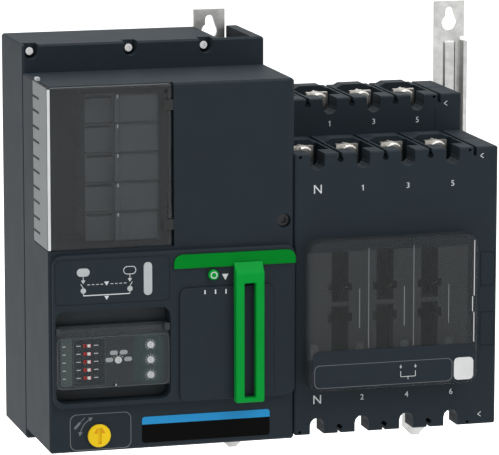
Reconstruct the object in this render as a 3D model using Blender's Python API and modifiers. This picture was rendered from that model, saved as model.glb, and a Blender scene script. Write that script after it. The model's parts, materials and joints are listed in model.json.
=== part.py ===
"""Automatic transfer switch: a control module beside two four-pole switches, one behind the other.

The front switch connects source 1, the rear switch source 2. A geared motor in the control module
turns both contact rotors together, so that one opens while the other closes.
Front is -Y, right is +X, up is +Z. The origin lies on the mounting plane, midway between the two
keyholes across and at the middle of the control module's height.
"""
import bpy
import bmesh
from math import acos, cos, pi, radians, sin, sqrt, tan
from mathutils import Matrix, Vector

MM = 0.001

# Clearances
GAP = 0.3 * MM
BOOLEAN_OVERRUN = 2 * MM

# Mounting strips
STRIP_SPACING = 195 * MM
STRIP_WIDTH = 24.5 * MM
STRIP_THICKNESS = 3 * MM
STRIP_TOP = 162 * MM
KEYHOLE_CENTRE = 145 * MM
KEYHOLE_HEAD_RADIUS = 6.25 * MM
KEYHOLE_SLOT_WIDTH = 6.5 * MM
KEYHOLE_SLOT_TOP = 157.6 * MM
FOOT_WIDTH = 20 * MM
FOOT_BOTTOM = -185 * MM
FOOT_CHAMFER = 7 * MM
FOOT_HOLE_HEIGHT = 13 * MM
LEFT_FOOT_X = -79.3 * MM
RIGHT_FOOT_X = 71.7 * MM
LEFT_FOOT_TURN = 50 * MM
LEFT_STUD_Z = (60 * MM, -60 * MM)
RIGHT_STUD_Z = (70 * MM, -128 * MM)
TONGUE_HALF = 12 * MM
STUD_RADIUS = 2.5 * MM
STUD_LENGTH = 5 * MM
FLANGE_DEPTH = 8 * MM
FLANGE_TOP = 131 * MM
RIB_WIDTH = 10 * MM
RIB_HEIGHT = 1.5 * MM

# Switches
POLE_COUNT = 4
POLE_PITCH = 35 * MM
AUX_WIDTH = 17.9 * MM
SWITCH_LEFT = -74.7 * MM
SWITCH_FRONT = -160 * MM
SWITCH_DIVIDE = -75 * MM
SWITCH_1_TOP = 71.8 * MM
SWITCH_2_TOP = 100 * MM
SWITCH_BOTTOM = -140.3 * MM
CASE_FRONT_WALL = 20 * MM
CHAMBER_REACH = 33 * MM
BARRIER = 6 * MM
LINE_CHAMBER_DEPTH = 44 * MM
LOAD_CHAMBER_DEPTH = 42 * MM
NOTCH_WIDTH = 11 * MM
NOTCH_DEPTH = 12.5 * MM
SLOT_KEYHOLE_RADIUS = 2.6 * MM
SLOT_KEYHOLE_DROP = 4.8 * MM
SLOT_KEYHOLE_WIDTH = 2.6 * MM
GROOVE_DEPTH = 7 * MM
HOOD_WIDTH = 26 * MM
HOOD_DEPTH = 14 * MM
HOOD_RISE = 2.3 * MM
HOOD_CHAMFER = 4.5 * MM
END_HOLE_RADIUS = 1.2 * MM
END_HOLE_INSET = 4.1 * MM
END_HOLE_DROP = 2.2 * MM
END_HOLE_DEPTH = 6 * MM
CASE_BEVEL = 1 * MM

# Contact system
AXIS_Z = -32 * MM
ROTOR_CAVITY_RADIUS = 31 * MM
ROTOR_SQUARE = 12 * MM
JOURNAL_RADIUS = 6 * MM
BLADE_LENGTH = 56 * MM
BLADE_WIDTH = 13 * MM
BLADE_THICKNESS = 2 * MM
BAR_THICKNESS = 4 * MM
BAR_DEPTH = 16 * MM
JAW_REACH = 12 * MM
PAD_WIDTH = 17 * MM
PAD_THICKNESS = 4 * MM
PAD_MARGIN = 0.3 * MM
BOLT_HEAD_RADIUS = 6.6 * MM
BOLT_HEAD_LENGTH = 4.5 * MM
BOLT_HEAD_BEVEL = 1 * MM
WASHER_RADIUS = 7.2 * MM
WASHER_THICKNESS = 2 * MM
NUT_LENGTH = 6 * MM
BOLT_DROP = 6.5 * MM
LINK_WIDTH = 20 * MM
LINK_THICKNESS = 4 * MM
LINK_DROP = 8 * MM

# Stepped slots in the front wall between the poles, above and below a bar
POLE_SLOT_WIDTH = 13 * MM
POLE_SLOT_DEPTH = 12 * MM
POLE_SLOT_TOP = -2.5 * MM
POLE_SLOT_BOTTOM = -84 * MM
POLE_BAR = (-43.8 * MM, -40.3 * MM)
POLE_STEP_WIDTH = 18.6 * MM
POLE_STEP_UPPER = (-32.2 * MM, -26.6 * MM)
POLE_STEP_LOWER = (-55.5 * MM, -48.9 * MM)

# Clear cover over the front switch's slots
WINDOW_LEFT = -68 * MM
WINDOW_RIGHT = 63 * MM
WINDOW_TOP = 8.5 * MM
WINDOW_BOTTOM = -104.5 * MM
WINDOW_RISE = 15 * MM
WINDOW_RADIUS = 8 * MM
WINDOW_WALL = 2 * MM

# Control module
MODULE_WIDTH = 186 * MM
MODULE_HEIGHT = 298.6 * MM
LEDGE_DEPTH = 77.4 * MM
FRONT_PLANE = -159 * MM
FRONT_TOP = 128.6 * MM
FRONT_BOTTOM = -142.4 * MM
MODULE_WALL = 3 * MM
MODULE_BACK_WALL = 7 * MM
MODULE_BEVEL = 1.5 * MM
LEDGE_SCREW_INSET = 7 * MM
LEDGE_SCREW_SHARES = (0.4446, 0.757)
LEDGE_SCREW_DROP = 5.6 * MM
LEDGE_POCKET_RADIUS = 5.2 * MM
LEDGE_POCKET_DEPTH = 11 * MM
LEDGE_BOSS_DEPTH = 22 * MM
SCREW_HEAD_RADIUS = 2.9 * MM
SCREW_HEAD_LENGTH = 3.6 * MM
SCREW_SHANK_RADIUS = 1.6 * MM
SCREW_SHANK_LENGTH = 8 * MM
KEYHOLE_POCKET_SIDE = 1 * MM
KEYHOLE_POCKET_DEPTH = 31 * MM
FRONT_SCREW_X = -82.9 * MM
FRONT_SCREW_Z = 23 * MM
FRONT_SCREW_HOLE = 5.3 * MM
FRONT_SCREW_RECESS = 7 * MM

# Function module bay and its clear cover
BAY_RIGHT = -166.5 * MM
BAY_BOTTOM = 8.2 * MM
BAY_DEPTH = 47 * MM
COVER_WALL = 2 * MM
COVER_HINGE_INSET = 2.5 * MM
COVER_BARREL_RADIUS = 2.2 * MM
COVER_PIN_RADIUS = 1.2 * MM
COVER_LUG_HEIGHT = 8 * MM
COVER_LUG_INSET = 12 * MM
KNOCKOUT_COUNT = 5
KNOCKOUT_PITCH = 22.3 * MM
KNOCKOUT_HEIGHT = 10.4 * MM
KNOCKOUT_TOP = 23 * MM
KNOCKOUT_SLIT = 1.4 * MM
KNOCKOUT_DEPTH = 21 * MM
INSERT_COUNT = 5
INSERT_PITCH = 21.8 * MM
INSERT_TOP = 120.3 * MM
INSERT_LEFT = -229.3 * MM
INSERT_STEP = -208.4 * MM
INSERT_RIGHT = -175.5 * MM
INSERT_DEPTH = 38 * MM
INSERT_STEP_DEPTH = 7 * MM
INSERT_SEAM = 0.8 * MM
INSERT_SLOT_HEIGHT = 2.4 * MM
INSERT_SLOT_DEPTH = 8 * MM

# Raised plateau of the front cover, and what it carries
PLATEAU_INSET = 2.1 * MM
PLATEAU_TOP = 5.5 * MM
PLATEAU_BOTTOM = -108 * MM
PLATEAU_RISE = 5 * MM
PLATEAU_RADIUS = 7 * MM
RECESS_INSET = 3.8 * MM
RECESS_RIGHT = -170.8 * MM
RECESS_TOP = -35.5 * MM
RECESS_BOTTOM = -104.5 * MM
RECESS_DEPTH = 14 * MM
RECESS_RADIUS = 7 * MM
WINDOW_STRIP_X = -187.8 * MM
WINDOW_STRIP_Z = -14 * MM
WINDOW_STRIP_WIDTH = 6.3 * MM
WINDOW_STRIP_HEIGHT = 24.5 * MM
BAND_LEFT = -168.2 * MM
BAND_TOP = 2.4 * MM
BAND_BOTTOM = -7.8 * MM
BAND_THICKNESS = 1.2 * MM
BAND_RADIUS = 6.5 * MM
BUTTON_X = -138.7 * MM
BUTTON_Z = -13.5 * MM
BUTTON_RADIUS = 3.9 * MM
BUTTON_RISE = 3.6 * MM
BUTTON_TRAVEL = 3 * MM
BUTTON_FLANGE_RADIUS = 5.5 * MM
BUTTON_FLANGE_LENGTH = 2 * MM

# Mode slider
SLIDER_LEFT = -164.2 * MM
SLIDER_RIGHT = -92.4 * MM
SLIDER_TOP = -22.6 * MM
SLIDER_BOTTOM = -107.5 * MM
SLIDER_THICKNESS = 1.7 * MM
SLIDER_RADIUS = 5 * MM
SLIDER_TRAVEL = 16 * MM
TONGUE_LENGTH = 20 * MM
TONGUE_HEIGHT = 4 * MM
TONGUE_LEFT = -140 * MM
TONGUE_Z = -65 * MM
TONGUE_REACH = 10 * MM
HANDLE_LEFT = -123.3 * MM
HANDLE_RIGHT = -101.7 * MM
HANDLE_TOP = -5 * MM
HANDLE_BOTTOM = -109.6 * MM
HANDLE_RISE = 7 * MM
HANDLE_SIDE = 6.4 * MM
HANDLE_HEAD = 15 * MM
HANDLE_FOOT = 3.4 * MM
HANDLE_SLOPE = 7 * MM

# Settings unit
UNIT_INSET = 4.2 * MM
UNIT_RIGHT = -171.6 * MM
UNIT_TOP = -48 * MM
UNIT_BOTTOM = -93.8 * MM
UNIT_FRONT = -161 * MM
UNIT_SLOPE = 5 * MM
LUG_WIDTH = 3.8 * MM
LUG_HEIGHT = 5 * MM
LUG_FRONT = -165 * MM
FLAP_THICKNESS = 1.6 * MM
FLAP_BARREL_RADIUS = 1.6 * MM
FLAP_PIN_RADIUS = 0.9 * MM
FLAP_AXIS_Y = -163.2 * MM
FLAP_AXIS_Z = -50.4 * MM
FLAP_CLEARANCE = 0.9 * MM
DIP_X = -233 * MM
DIP_TOP_Z = -62.2 * MM
DIP_PITCH = 6 * MM
DIP_COUNT = 5
DIP_BANK_WIDTH = 5.4 * MM
DIP_BANK_HEIGHT = 31 * MM
DIP_BANK_DEPTH = 4 * MM
DIP_KNOB = 2 * MM
DIP_KNOB_OFFSET = 1 * MM
DIP_KNOB_RISE = 1.2 * MM
DIP_TRAVEL = 2 * MM
DIP_SLOT_DEPTH = 2.4 * MM
DIAL_RADIUS = 2.5 * MM
DIAL_RISE = 1.2 * MM
DIAL_SEAT = 5 * MM
DIAL_SLOT = 0.8 * MM
DIAL_SLOT_SHARE = 0.8
MODE_DIAL_X = -209.8 * MM
MODE_DIAL_Z = -74.1 * MM
DIAL_X = -185.4 * MM
DIAL_TOP_Z = -64 * MM
DIAL_PITCH = 11.25 * MM
DIAL_COUNT = 3

# Test selector
SELECTOR_X = -224.4 * MM
SELECTOR_Z = -130.2 * MM
SELECTOR_RADIUS = 8.6 * MM
SELECTOR_RISE = 3 * MM
SELECTOR_SHAFT_RADIUS = 4 * MM
SELECTOR_SHAFT_LENGTH = 10 * MM
SELECTOR_GRIP_SHARE = 0.7
SELECTOR_GRIP_WIDTH = 3 * MM
SELECTOR_GRIP_DEPTH = 1.4 * MM

# Drive
GEAR_TEETH = 24
PINION_TEETH = 12
GEAR_WIDTH = 6 * MM
GEAR_BACKLASH = 0.3 * MM
PRESSURE_ANGLE = radians(20)
ADDENDUM = 0.8
DEDENDUM = 1.1
GEAR_WALL_SPACE = 3 * MM
GEAR_PLATE_SPACE = 3 * MM
GEAR_PLATE_THICKNESS = 3 * MM
GEAR_PLATE_MARGIN = 13 * MM
GEAR_PLATE_FOOT = 12 * MM
GEAR_PLATE_RADIUS = 4 * MM
DRIVE_SHAFT_RADIUS = 5 * MM
PINION_SHAFT_RADIUS = 3 * MM
SHAFT_OVERHANG = 4 * MM
MOTOR_RADIUS = 17 * MM
MOTOR_LENGTH = 45 * MM
MOTOR_BEVEL = 1.5 * MM
MOTOR_CAP_RADIUS = 9 * MM
MOTOR_CAP_LENGTH = 5 * MM

# Electronics
BOARD_INSET = 13 * MM
BOARD_RIGHT = -140 * MM
BOARD_BOTTOM = -30 * MM
BOARD_TOP = 110 * MM
BOARD_THICKNESS = 1.6 * MM
BOARD_STANDOFF = 12 * MM
STANDOFF_RADIUS = 3.5 * MM
STANDOFF_INSET = 8 * MM
CAPACITOR_RADIUS = 8 * MM
CAPACITOR_HEIGHT = 22 * MM
RELAY_SIZE = (28 * MM, 16 * MM, 20 * MM)
TRANSFORMER_X = -210 * MM
TRANSFORMER_Z = -100 * MM
TRANSFORMER_WIDTH = 60 * MM
TRANSFORMER_HEIGHT = 50 * MM
TRANSFORMER_DEPTH = 24 * MM
TRANSFORMER_WINDOW = 10 * MM
TRANSFORMER_LEG = 10 * MM
COIL_DEPTH = 44 * MM
COIL_BEVEL = 3 * MM

# Places worked out from the driving dimensions
LEFT_STRIP_X = -STRIP_SPACING / 2
RIGHT_STRIP_X = STRIP_SPACING / 2
BODY_BACK = -(STRIP_THICKNESS + GAP)
MODULE_RIGHT = SWITCH_LEFT - GAP
MODULE_LEFT = MODULE_RIGHT - MODULE_WIDTH
MODULE_TOP = MODULE_HEIGHT / 2
LEDGE_SCREW_X = (MODULE_LEFT + LEDGE_SCREW_INSET,)
LEDGE_SCREW_X += tuple(MODULE_LEFT + share * MODULE_WIDTH for share in LEDGE_SCREW_SHARES)
PLATEAU_LEFT = MODULE_LEFT + PLATEAU_INSET
RECESS_LEFT = MODULE_LEFT + RECESS_INSET
UNIT_LEFT = MODULE_LEFT + UNIT_INSET
BOARD_LEFT = MODULE_LEFT + BOARD_INSET
SWITCH_RIGHT = SWITCH_LEFT + POLE_COUNT * POLE_PITCH + AUX_WIDTH
SWITCH_1_BACK = SWITCH_DIVIDE - GAP
AXIS_1_Y = (SWITCH_FRONT + SWITCH_1_BACK) / 2
AXIS_2_Y = (SWITCH_DIVIDE + BODY_BACK) / 2
DRIVE_Y = (AXIS_1_Y + AXIS_2_Y) / 2
GEAR_RADIUS = (AXIS_2_Y - AXIS_1_Y) / 4
GEAR_MODULE = 2 * GEAR_RADIUS / GEAR_TEETH
PINION_RADIUS = GEAR_MODULE * PINION_TEETH / 2
PINION_Z = AXIS_Z - GEAR_RADIUS - PINION_RADIUS
GEAR_RIGHT = MODULE_RIGHT - MODULE_WALL - GEAR_WALL_SPACE
GEAR_X = GEAR_RIGHT - GEAR_WIDTH / 2
PLATE_RIGHT = GEAR_RIGHT - GEAR_WIDTH - GEAR_PLATE_SPACE
PLATE_LEFT = PLATE_RIGHT - GEAR_PLATE_THICKNESS
SHAFT_LEFT = PLATE_LEFT - SHAFT_OVERHANG
CHAMBER_WIDTH = POLE_PITCH - BARRIER
FIRST_POLE_X = SWITCH_LEFT + POLE_PITCH / 2
LOAD_CEILING = SWITCH_BOTTOM + LOAD_CHAMBER_DEPTH
LINK_Z = LOAD_CEILING - LINK_DROP
SHAFT_BORE = ROTOR_SQUARE / sqrt(2) + GAP
PLATEAU_FRONT = FRONT_PLANE - PLATEAU_RISE
SLIDER_FRONT = PLATEAU_FRONT - GAP - SLIDER_THICKNESS
RECESS_FLOOR = PLATEAU_FRONT + RECESS_DEPTH
BAY_FLOOR = FRONT_PLANE + BAY_DEPTH
COVER_AXIS_X = BAY_RIGHT - COVER_HINGE_INSET - GAP
COVER_AXIS_Y = FRONT_PLANE + COVER_HINGE_INSET
FLAP_BACK = FLAP_AXIS_Y - FLAP_BARREL_RADIUS + FLAP_THICKNESS

for item in list(bpy.data.objects):
    bpy.data.objects.remove(item, do_unlink=True)

parts = bpy.data.collections.new("automatic_transfer_switch")
cutters = bpy.data.collections.new("cutters")
bpy.context.scene.collection.children.link(parts)
bpy.context.scene.collection.children.link(cutters)

# Finish: colour, roughness, metallic value and alpha
FINISHES = {
    "dark": ((0.026, 0.032, 0.042), 0.5, 0.0, 1.0),
    "clear": ((0.75, 0.78, 0.8), 0.1, 0.0, 0.3),
    "green": ((0.0, 0.29, 0.042), 0.4, 0.0, 1.0),
    "yellow": ((0.87, 0.62, 0.01), 0.4, 0.0, 1.0),
    "white": ((0.8, 0.8, 0.78), 0.5, 0.0, 1.0),
    "red": ((0.5, 0.02, 0.015), 0.45, 0.0, 1.0),
    "grey": ((0.2, 0.21, 0.22), 0.5, 0.0, 1.0),
    "zinc": ((0.38, 0.38, 0.37), 0.4, 1.0, 1.0),
    "copper": ((0.5, 0.47, 0.42), 0.35, 1.0, 1.0),
    "steel": ((0.3, 0.3, 0.31), 0.35, 1.0, 1.0),
    "board": ((0.01, 0.12, 0.04), 0.5, 0.0, 1.0),
}


# Helpers

def place(piece, finish):
    """Put a finished piece in the parts collection with a material of its own."""
    colour, roughness, metallic, alpha = FINISHES[finish]
    material = bpy.data.materials.new(piece.name)
    material.use_nodes = True
    shader = material.node_tree.nodes["Principled BSDF"]
    shader.inputs["Base Color"].default_value = (*colour, 1.0)
    shader.inputs["Roughness"].default_value = roughness
    shader.inputs["Metallic"].default_value = metallic
    shader.inputs["Alpha"].default_value = alpha
    material.diffuse_color = (*colour, alpha)
    piece.data.materials.clear()
    piece.data.materials.append(material)
    if piece.name not in parts.objects:
        cutters.objects.unlink(piece)
        parts.objects.link(piece)
    piece.hide_render = False
    piece.display_type = "TEXTURED"
    return piece


def stock(name, bm, location):
    """Make an object from a bmesh. It waits among the cutters until place() finishes it."""
    mesh = bpy.data.meshes.new(name)
    bm.to_mesh(mesh)
    bm.free()
    piece = bpy.data.objects.new(name, mesh)
    piece.location = location
    piece.hide_render = True
    piece.display_type = "WIRE"
    cutters.objects.link(piece)
    return piece


def block(name, x, y, z):
    """A box between pairs of limits, its origin at its middle."""
    bm = bmesh.new()
    bmesh.ops.create_cube(bm, size=1)
    size = Vector((x[1] - x[0], y[1] - y[0], z[1] - z[0]))
    bmesh.ops.scale(bm, vec=size, verts=bm.verts)
    return stock(name, bm, ((x[0] + x[1]) / 2, (y[0] + y[1]) / 2, (z[0] + z[1]) / 2))


TURNS = {
    "X": Matrix(((0, 0, 1), (1, 0, 0), (0, 1, 0))).to_4x4(),
    "Y": Matrix(((1, 0, 0), (0, 0, -1), (0, 1, 0))).to_4x4(),
    "Z": Matrix.Identity(4),
}


def rod(name, axis, span, centre, radius, sides=16):
    """A cylinder along an axis letter, between two limits, round a centre in the other two axes."""
    bm = bmesh.new()
    bmesh.ops.create_cone(
        bm, cap_ends=True, segments=sides, radius1=radius, radius2=radius, depth=span[1] - span[0]
    )
    bmesh.ops.transform(bm, matrix=TURNS[axis], verts=bm.verts)
    middle = (span[0] + span[1]) / 2
    location = {
        "X": (middle, centre[0], centre[1]),
        "Y": (centre[0], middle, centre[1]),
        "Z": (centre[0], centre[1], middle),
    }[axis]
    return stock(name, bm, location)


def arc(centre, radius, start, end, steps):
    """Points along an arc, angles in degrees."""
    angles = [radians(start + (end - start) * step / steps) for step in range(steps + 1)]
    return [(centre[0] + radius * cos(a), centre[1] + radius * sin(a)) for a in angles]


def circle(centre, radius, sides=16):
    return arc(centre, radius, 0, 360, sides)[:-1]


def rounded(left, right, bottom, top, radius, steps=3):
    """A rectangle with round corners."""
    corners = (
        (right - radius, top - radius, 0),
        (left + radius, top - radius, 90),
        (left + radius, bottom + radius, 180),
        (right - radius, bottom + radius, 270),
    )
    points = []
    for x, z, start in corners:
        points += arc((x, z), radius, start, start + 90, steps)
    return points


def rectangle(left, right, bottom, top):
    return [(right, top), (left, top), (left, bottom), (right, bottom)]


def extruded(name, axis, span, loops):
    """Outlines, the first outside and the rest holes, extruded between two limits along an axis."""
    curve = bpy.data.curves.new(name, "CURVE")
    curve.dimensions = "2D"
    curve.fill_mode = "BOTH"
    curve.extrude = (span[1] - span[0]) / 2
    for points in loops:
        spline = curve.splines.new("POLY")
        spline.points.add(len(points) - 1)
        for target, (u, v) in zip(spline.points, points):
            target.co = (u, v, 0, 1)
        spline.use_cyclic_u = True
    flat = bpy.data.objects.new(name + "_outline", curve)
    cutters.objects.link(flat)
    bpy.context.view_layer.update()
    mesh = bpy.data.meshes.new_from_object(flat.evaluated_get(bpy.context.evaluated_depsgraph_get()))
    bpy.data.objects.remove(flat, do_unlink=True)
    bm = bmesh.new()
    bm.from_mesh(mesh)
    bmesh.ops.remove_doubles(bm, verts=bm.verts, dist=0.00001)
    bmesh.ops.recalc_face_normals(bm, faces=bm.faces)
    bmesh.ops.transform(bm, matrix=TURNS[axis], verts=bm.verts)
    middle = (span[0] + span[1]) / 2
    return stock(name, bm, {"X": (middle, 0, 0), "Y": (0, middle, 0), "Z": (0, 0, middle)}[axis])


def repeat(piece, count, step):
    """Repeat a piece in a row."""
    row = piece.modifiers.new("row", "ARRAY")
    row.count = count
    row.use_relative_offset = False
    row.use_constant_offset = True
    row.constant_offset_displace = step
    return piece


def combine(piece, operation, others):
    for other in others:
        boolean = piece.modifiers.new(other.name, "BOOLEAN")
        boolean.operation = operation
        boolean.solver = "EXACT"
        boolean.object = other
    return piece


def cut(piece, *others):
    return combine(piece, "DIFFERENCE", others)


def fuse(piece, *others):
    return combine(piece, "UNION", others)


def manifold_solver(piece):
    """Many small cuts in thin walls: the exact solver leaves open edges there."""
    for modifier in piece.modifiers:
        if modifier.type == "BOOLEAN":
            modifier.solver = "MANIFOLD"
    return piece


def bevel(piece, width, segments=1, angle=40):
    edge = piece.modifiers.new("edge", "BEVEL")
    edge.width = width
    edge.segments = segments
    edge.limit_method = "ANGLE"
    edge.angle_limit = radians(angle)
    return piece


def bake(piece):
    """Replace a piece's mesh by its evaluated one, so that copies can share it."""
    bpy.context.view_layer.update()
    mesh = bpy.data.meshes.new_from_object(
        piece.evaluated_get(bpy.context.evaluated_depsgraph_get())
    )
    piece.modifiers.clear()
    piece.data = mesh
    return piece


def set_origin(piece, point):
    """Move a piece's origin to a point, such as one on its joint's axis."""
    shift = piece.location - Vector(point)
    piece.data.transform(Matrix.Translation(shift))
    piece.location = point
    return piece


def copies(piece, names, step):
    """Place a piece and its copies in a row, each an object of its own."""
    start = Vector(piece.location)
    row = [piece]
    piece.name = names[0]
    for index, name in enumerate(names[1:], start=1):
        copy = bpy.data.objects.new(name, piece.data.copy())
        copy.location = start + index * Vector(step)
        cutters.objects.link(copy)
        row.append(copy)
    return row


def pole_row(piece, count=POLE_COUNT):
    return repeat(piece, count, (POLE_PITCH, 0, 0))


# Mounting strips

def keyhole(x):
    half = KEYHOLE_SLOT_WIDTH / 2
    meet = sqrt(KEYHOLE_HEAD_RADIUS ** 2 - half ** 2)
    turn = acos(half / KEYHOLE_HEAD_RADIUS) * 180 / pi
    head = arc((x, KEYHOLE_CENTRE), KEYHOLE_HEAD_RADIUS, 180 - turn, 360 + turn, 14)
    slot = arc((x, KEYHOLE_SLOT_TOP - half), half, 0, 180, 8)
    return [point for point in head if point[1] <= KEYHOLE_CENTRE + meet] + slot


def foot(x):
    """The lower end of a strip, from its left side round to its right side."""
    half = FOOT_WIDTH / 2
    tip = half - FOOT_CHAMFER
    return [
        (x - half, FOOT_BOTTOM + FOOT_CHAMFER),
        (x - tip, FOOT_BOTTOM),
        (x + tip, FOOT_BOTTOM),
        (x + half, FOOT_BOTTOM + FOOT_CHAMFER),
    ]


def stud(name, x, z):
    span = (-STRIP_THICKNESS - GAP - STUD_LENGTH, -STRIP_THICKNESS / 2)
    return rod(name, "Y", span, (x, z), STUD_RADIUS, 10)


def stud_hole(name, x, z):
    span = (BODY_BACK - STUD_LENGTH - GAP, BODY_BACK + BOOLEAN_OVERRUN)
    return rod(name, "Y", span, (x, z), STUD_RADIUS + GAP, 10)


def left_strip():
    half = STRIP_WIDTH / 2
    jog = abs(LEFT_FOOT_X - LEFT_STRIP_X)
    turn = FOOT_BOTTOM + LEFT_FOOT_TURN
    outline = [(LEFT_STRIP_X + half, STRIP_TOP), (LEFT_STRIP_X - half, STRIP_TOP)]
    outline += [(LEFT_STRIP_X - half, turn), (LEFT_FOOT_X - FOOT_WIDTH / 2, turn - jog)]
    outline += foot(LEFT_FOOT_X)
    outline += [(LEFT_FOOT_X + FOOT_WIDTH / 2, turn), (LEFT_STRIP_X + half, turn + jog)]
    hole = circle((LEFT_FOOT_X, FOOT_BOTTOM + FOOT_HOLE_HEIGHT), KEYHOLE_SLOT_WIDTH / 2, 12)
    span = (-STRIP_THICKNESS, 0)
    strip = extruded("left_strip", "Y", span, [outline, keyhole(LEFT_STRIP_X), hole])
    studs = [stud(f"left_stud_{i}", LEFT_STRIP_X, z) for i, z in enumerate(LEFT_STUD_Z)]
    place(fuse(strip, *studs), "zinc")


def right_strip():
    half = STRIP_WIDTH / 2
    inner = RIGHT_STRIP_X - half
    outer = RIGHT_STRIP_X + half
    tongue_left = RIGHT_FOOT_X - FOOT_WIDTH / 2
    upper = RIGHT_STUD_Z[0]
    lower = FOOT_BOTTOM + FOOT_CHAMFER
    outline = [(outer, STRIP_TOP), (inner, STRIP_TOP)]
    outline += [(inner, upper + TONGUE_HALF), (tongue_left, upper + TONGUE_HALF)]
    outline += [(tongue_left, upper - TONGUE_HALF), (inner, upper - TONGUE_HALF)]
    outline += [(inner, RIGHT_STUD_Z[1] + TONGUE_HALF), (tongue_left, RIGHT_STUD_Z[1] + TONGUE_HALF)]
    outline += foot(RIGHT_FOOT_X)
    outline += [(RIGHT_FOOT_X + FOOT_WIDTH / 2, lower + STRIP_WIDTH / 2)]
    outline += [(outer - FOOT_CHAMFER, lower + STRIP_WIDTH / 2), (outer, lower + STRIP_WIDTH)]
    hole = circle((RIGHT_FOOT_X, FOOT_BOTTOM + FOOT_HOLE_HEIGHT), KEYHOLE_SLOT_WIDTH / 2, 12)
    span = (-STRIP_THICKNESS, 0)
    strip = extruded("right_strip", "Y", span, [outline, keyhole(RIGHT_STRIP_X), hole])
    flange = block(
        "strip_flange",
        (outer - STRIP_THICKNESS, outer),
        (-FLANGE_DEPTH - STRIP_THICKNESS, -STRIP_THICKNESS / 2),
        (lower + STRIP_WIDTH, FLANGE_TOP),
    )
    rib = block(
        "strip_rib",
        (RIGHT_STRIP_X - RIB_WIDTH / 2, RIGHT_STRIP_X + RIB_WIDTH / 2),
        (-STRIP_THICKNESS - RIB_HEIGHT, -STRIP_THICKNESS / 2),
        (lower + STRIP_WIDTH, FLANGE_TOP),
    )
    bevel(rib, RIB_HEIGHT * 0.9)
    notch = block(
        "flange_notch",
        (outer - STRIP_THICKNESS - GAP, outer + BOOLEAN_OVERRUN),
        (-STRIP_THICKNESS - BOOLEAN_OVERRUN, BOOLEAN_OVERRUN),
        (FLANGE_TOP, FLANGE_TOP + STRIP_THICKNESS),
    )
    studs = [stud(f"right_stud_{i}", RIGHT_FOOT_X, z) for i, z in enumerate(RIGHT_STUD_Z)]
    fuse(strip, flange, rib, *studs)
    place(cut(strip, notch), "zinc")


# Switch cases

def notch_outline(edge, inward):
    """A U from an edge: inward is -1 for a notch from the top, 1 for one from the bottom."""
    half = NOTCH_WIDTH / 2
    centre = (FIRST_POLE_X, edge + inward * (NOTCH_DEPTH - half))
    open_end = edge - inward * BOOLEAN_OVERRUN
    start = 180 if inward < 0 else 0
    points = arc(centre, half, start, start + 180, 6)
    first = points[0][0]
    last = points[-1][0]
    return points + [(last, open_end), (first, open_end)]


def slot_outline(edge, inward):
    """A keyhole slot from an edge, for a phase barrier."""
    half = SLOT_KEYHOLE_WIDTH / 2
    centre = (SWITCH_LEFT + POLE_PITCH, edge + inward * SLOT_KEYHOLE_DROP)
    open_end = edge - inward * BOOLEAN_OVERRUN
    turn = acos(half / SLOT_KEYHOLE_RADIUS) * 180 / pi
    start = 180 - turn if inward < 0 else -turn
    points = arc(centre, SLOT_KEYHOLE_RADIUS, start, start + 180 + 2 * turn, 5)
    return points + [(points[-1][0], open_end), (points[0][0], open_end)]


def case_cutters(prefix, front, axis_y, top):
    """The spaces that both halves of a switch case share."""
    half_chamber = CHAMBER_WIDTH / 2
    pole = (FIRST_POLE_X - half_chamber, FIRST_POLE_X + half_chamber)
    inside = (front + CASE_FRONT_WALL, front + CASE_FRONT_WALL + CHAMBER_REACH)
    axis = (axis_y, AXIS_Z)
    bar_half = BAR_THICKNESS / 2 + GAP
    bar_x = (FIRST_POLE_X - bar_half, FIRST_POLE_X + bar_half)
    bar_y = (axis_y - BAR_DEPTH / 2 - GAP, axis_y + BAR_DEPTH / 2 + GAP)
    line_floor = top - LINE_CHAMBER_DEPTH
    shaft_end = SWITCH_LEFT + POLE_COUNT * POLE_PITCH - BARRIER / 2 + 2 * GAP
    shaft_span = (SWITCH_LEFT - BOOLEAN_OVERRUN, shaft_end)
    return [
        pole_row(rod(prefix + "_cavity", "X", pole, axis, ROTOR_CAVITY_RADIUS, 12)),
        rod(prefix + "_shaft_bore", "X", shaft_span, axis, SHAFT_BORE, 12),
        pole_row(block(prefix + "_line_chamber", pole, inside, (line_floor, top + BOOLEAN_OVERRUN))),
        pole_row(
            block(
                prefix + "_load_chamber",
                pole,
                inside,
                (SWITCH_BOTTOM - BOOLEAN_OVERRUN, LOAD_CEILING),
            )
        ),
        pole_row(
            block(
                prefix + "_bar_slot",
                bar_x,
                bar_y,
                (LOAD_CEILING - BOOLEAN_OVERRUN, line_floor + BOOLEAN_OVERRUN),
            )
        ),
    ]


def wall_notches(prefix, front, edge, inward):
    """Cable notches, barrier slots and end holes through a case's front wall at one edge."""
    wall = (front - BOOLEAN_OVERRUN, front + CASE_FRONT_WALL + BOOLEAN_OVERRUN)
    notches = extruded(prefix + "_notches", "Y", wall, [notch_outline(edge, inward)])
    slots = extruded(prefix + "_slots", "Y", wall, [slot_outline(edge, inward)])
    hole_at = (SWITCH_LEFT + END_HOLE_INSET, edge + inward * END_HOLE_DROP)
    hole_span = (front - BOOLEAN_OVERRUN, front + END_HOLE_DEPTH)
    holes = rod(prefix + "_end_holes", "Y", hole_span, hole_at, END_HOLE_RADIUS, 6)
    repeat(holes, 2, (POLE_COUNT * POLE_PITCH - 2 * END_HOLE_INSET, 0, 0))
    return [pole_row(notches), repeat(slots, POLE_COUNT - 1, (POLE_PITCH, 0, 0)), holes]


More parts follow.
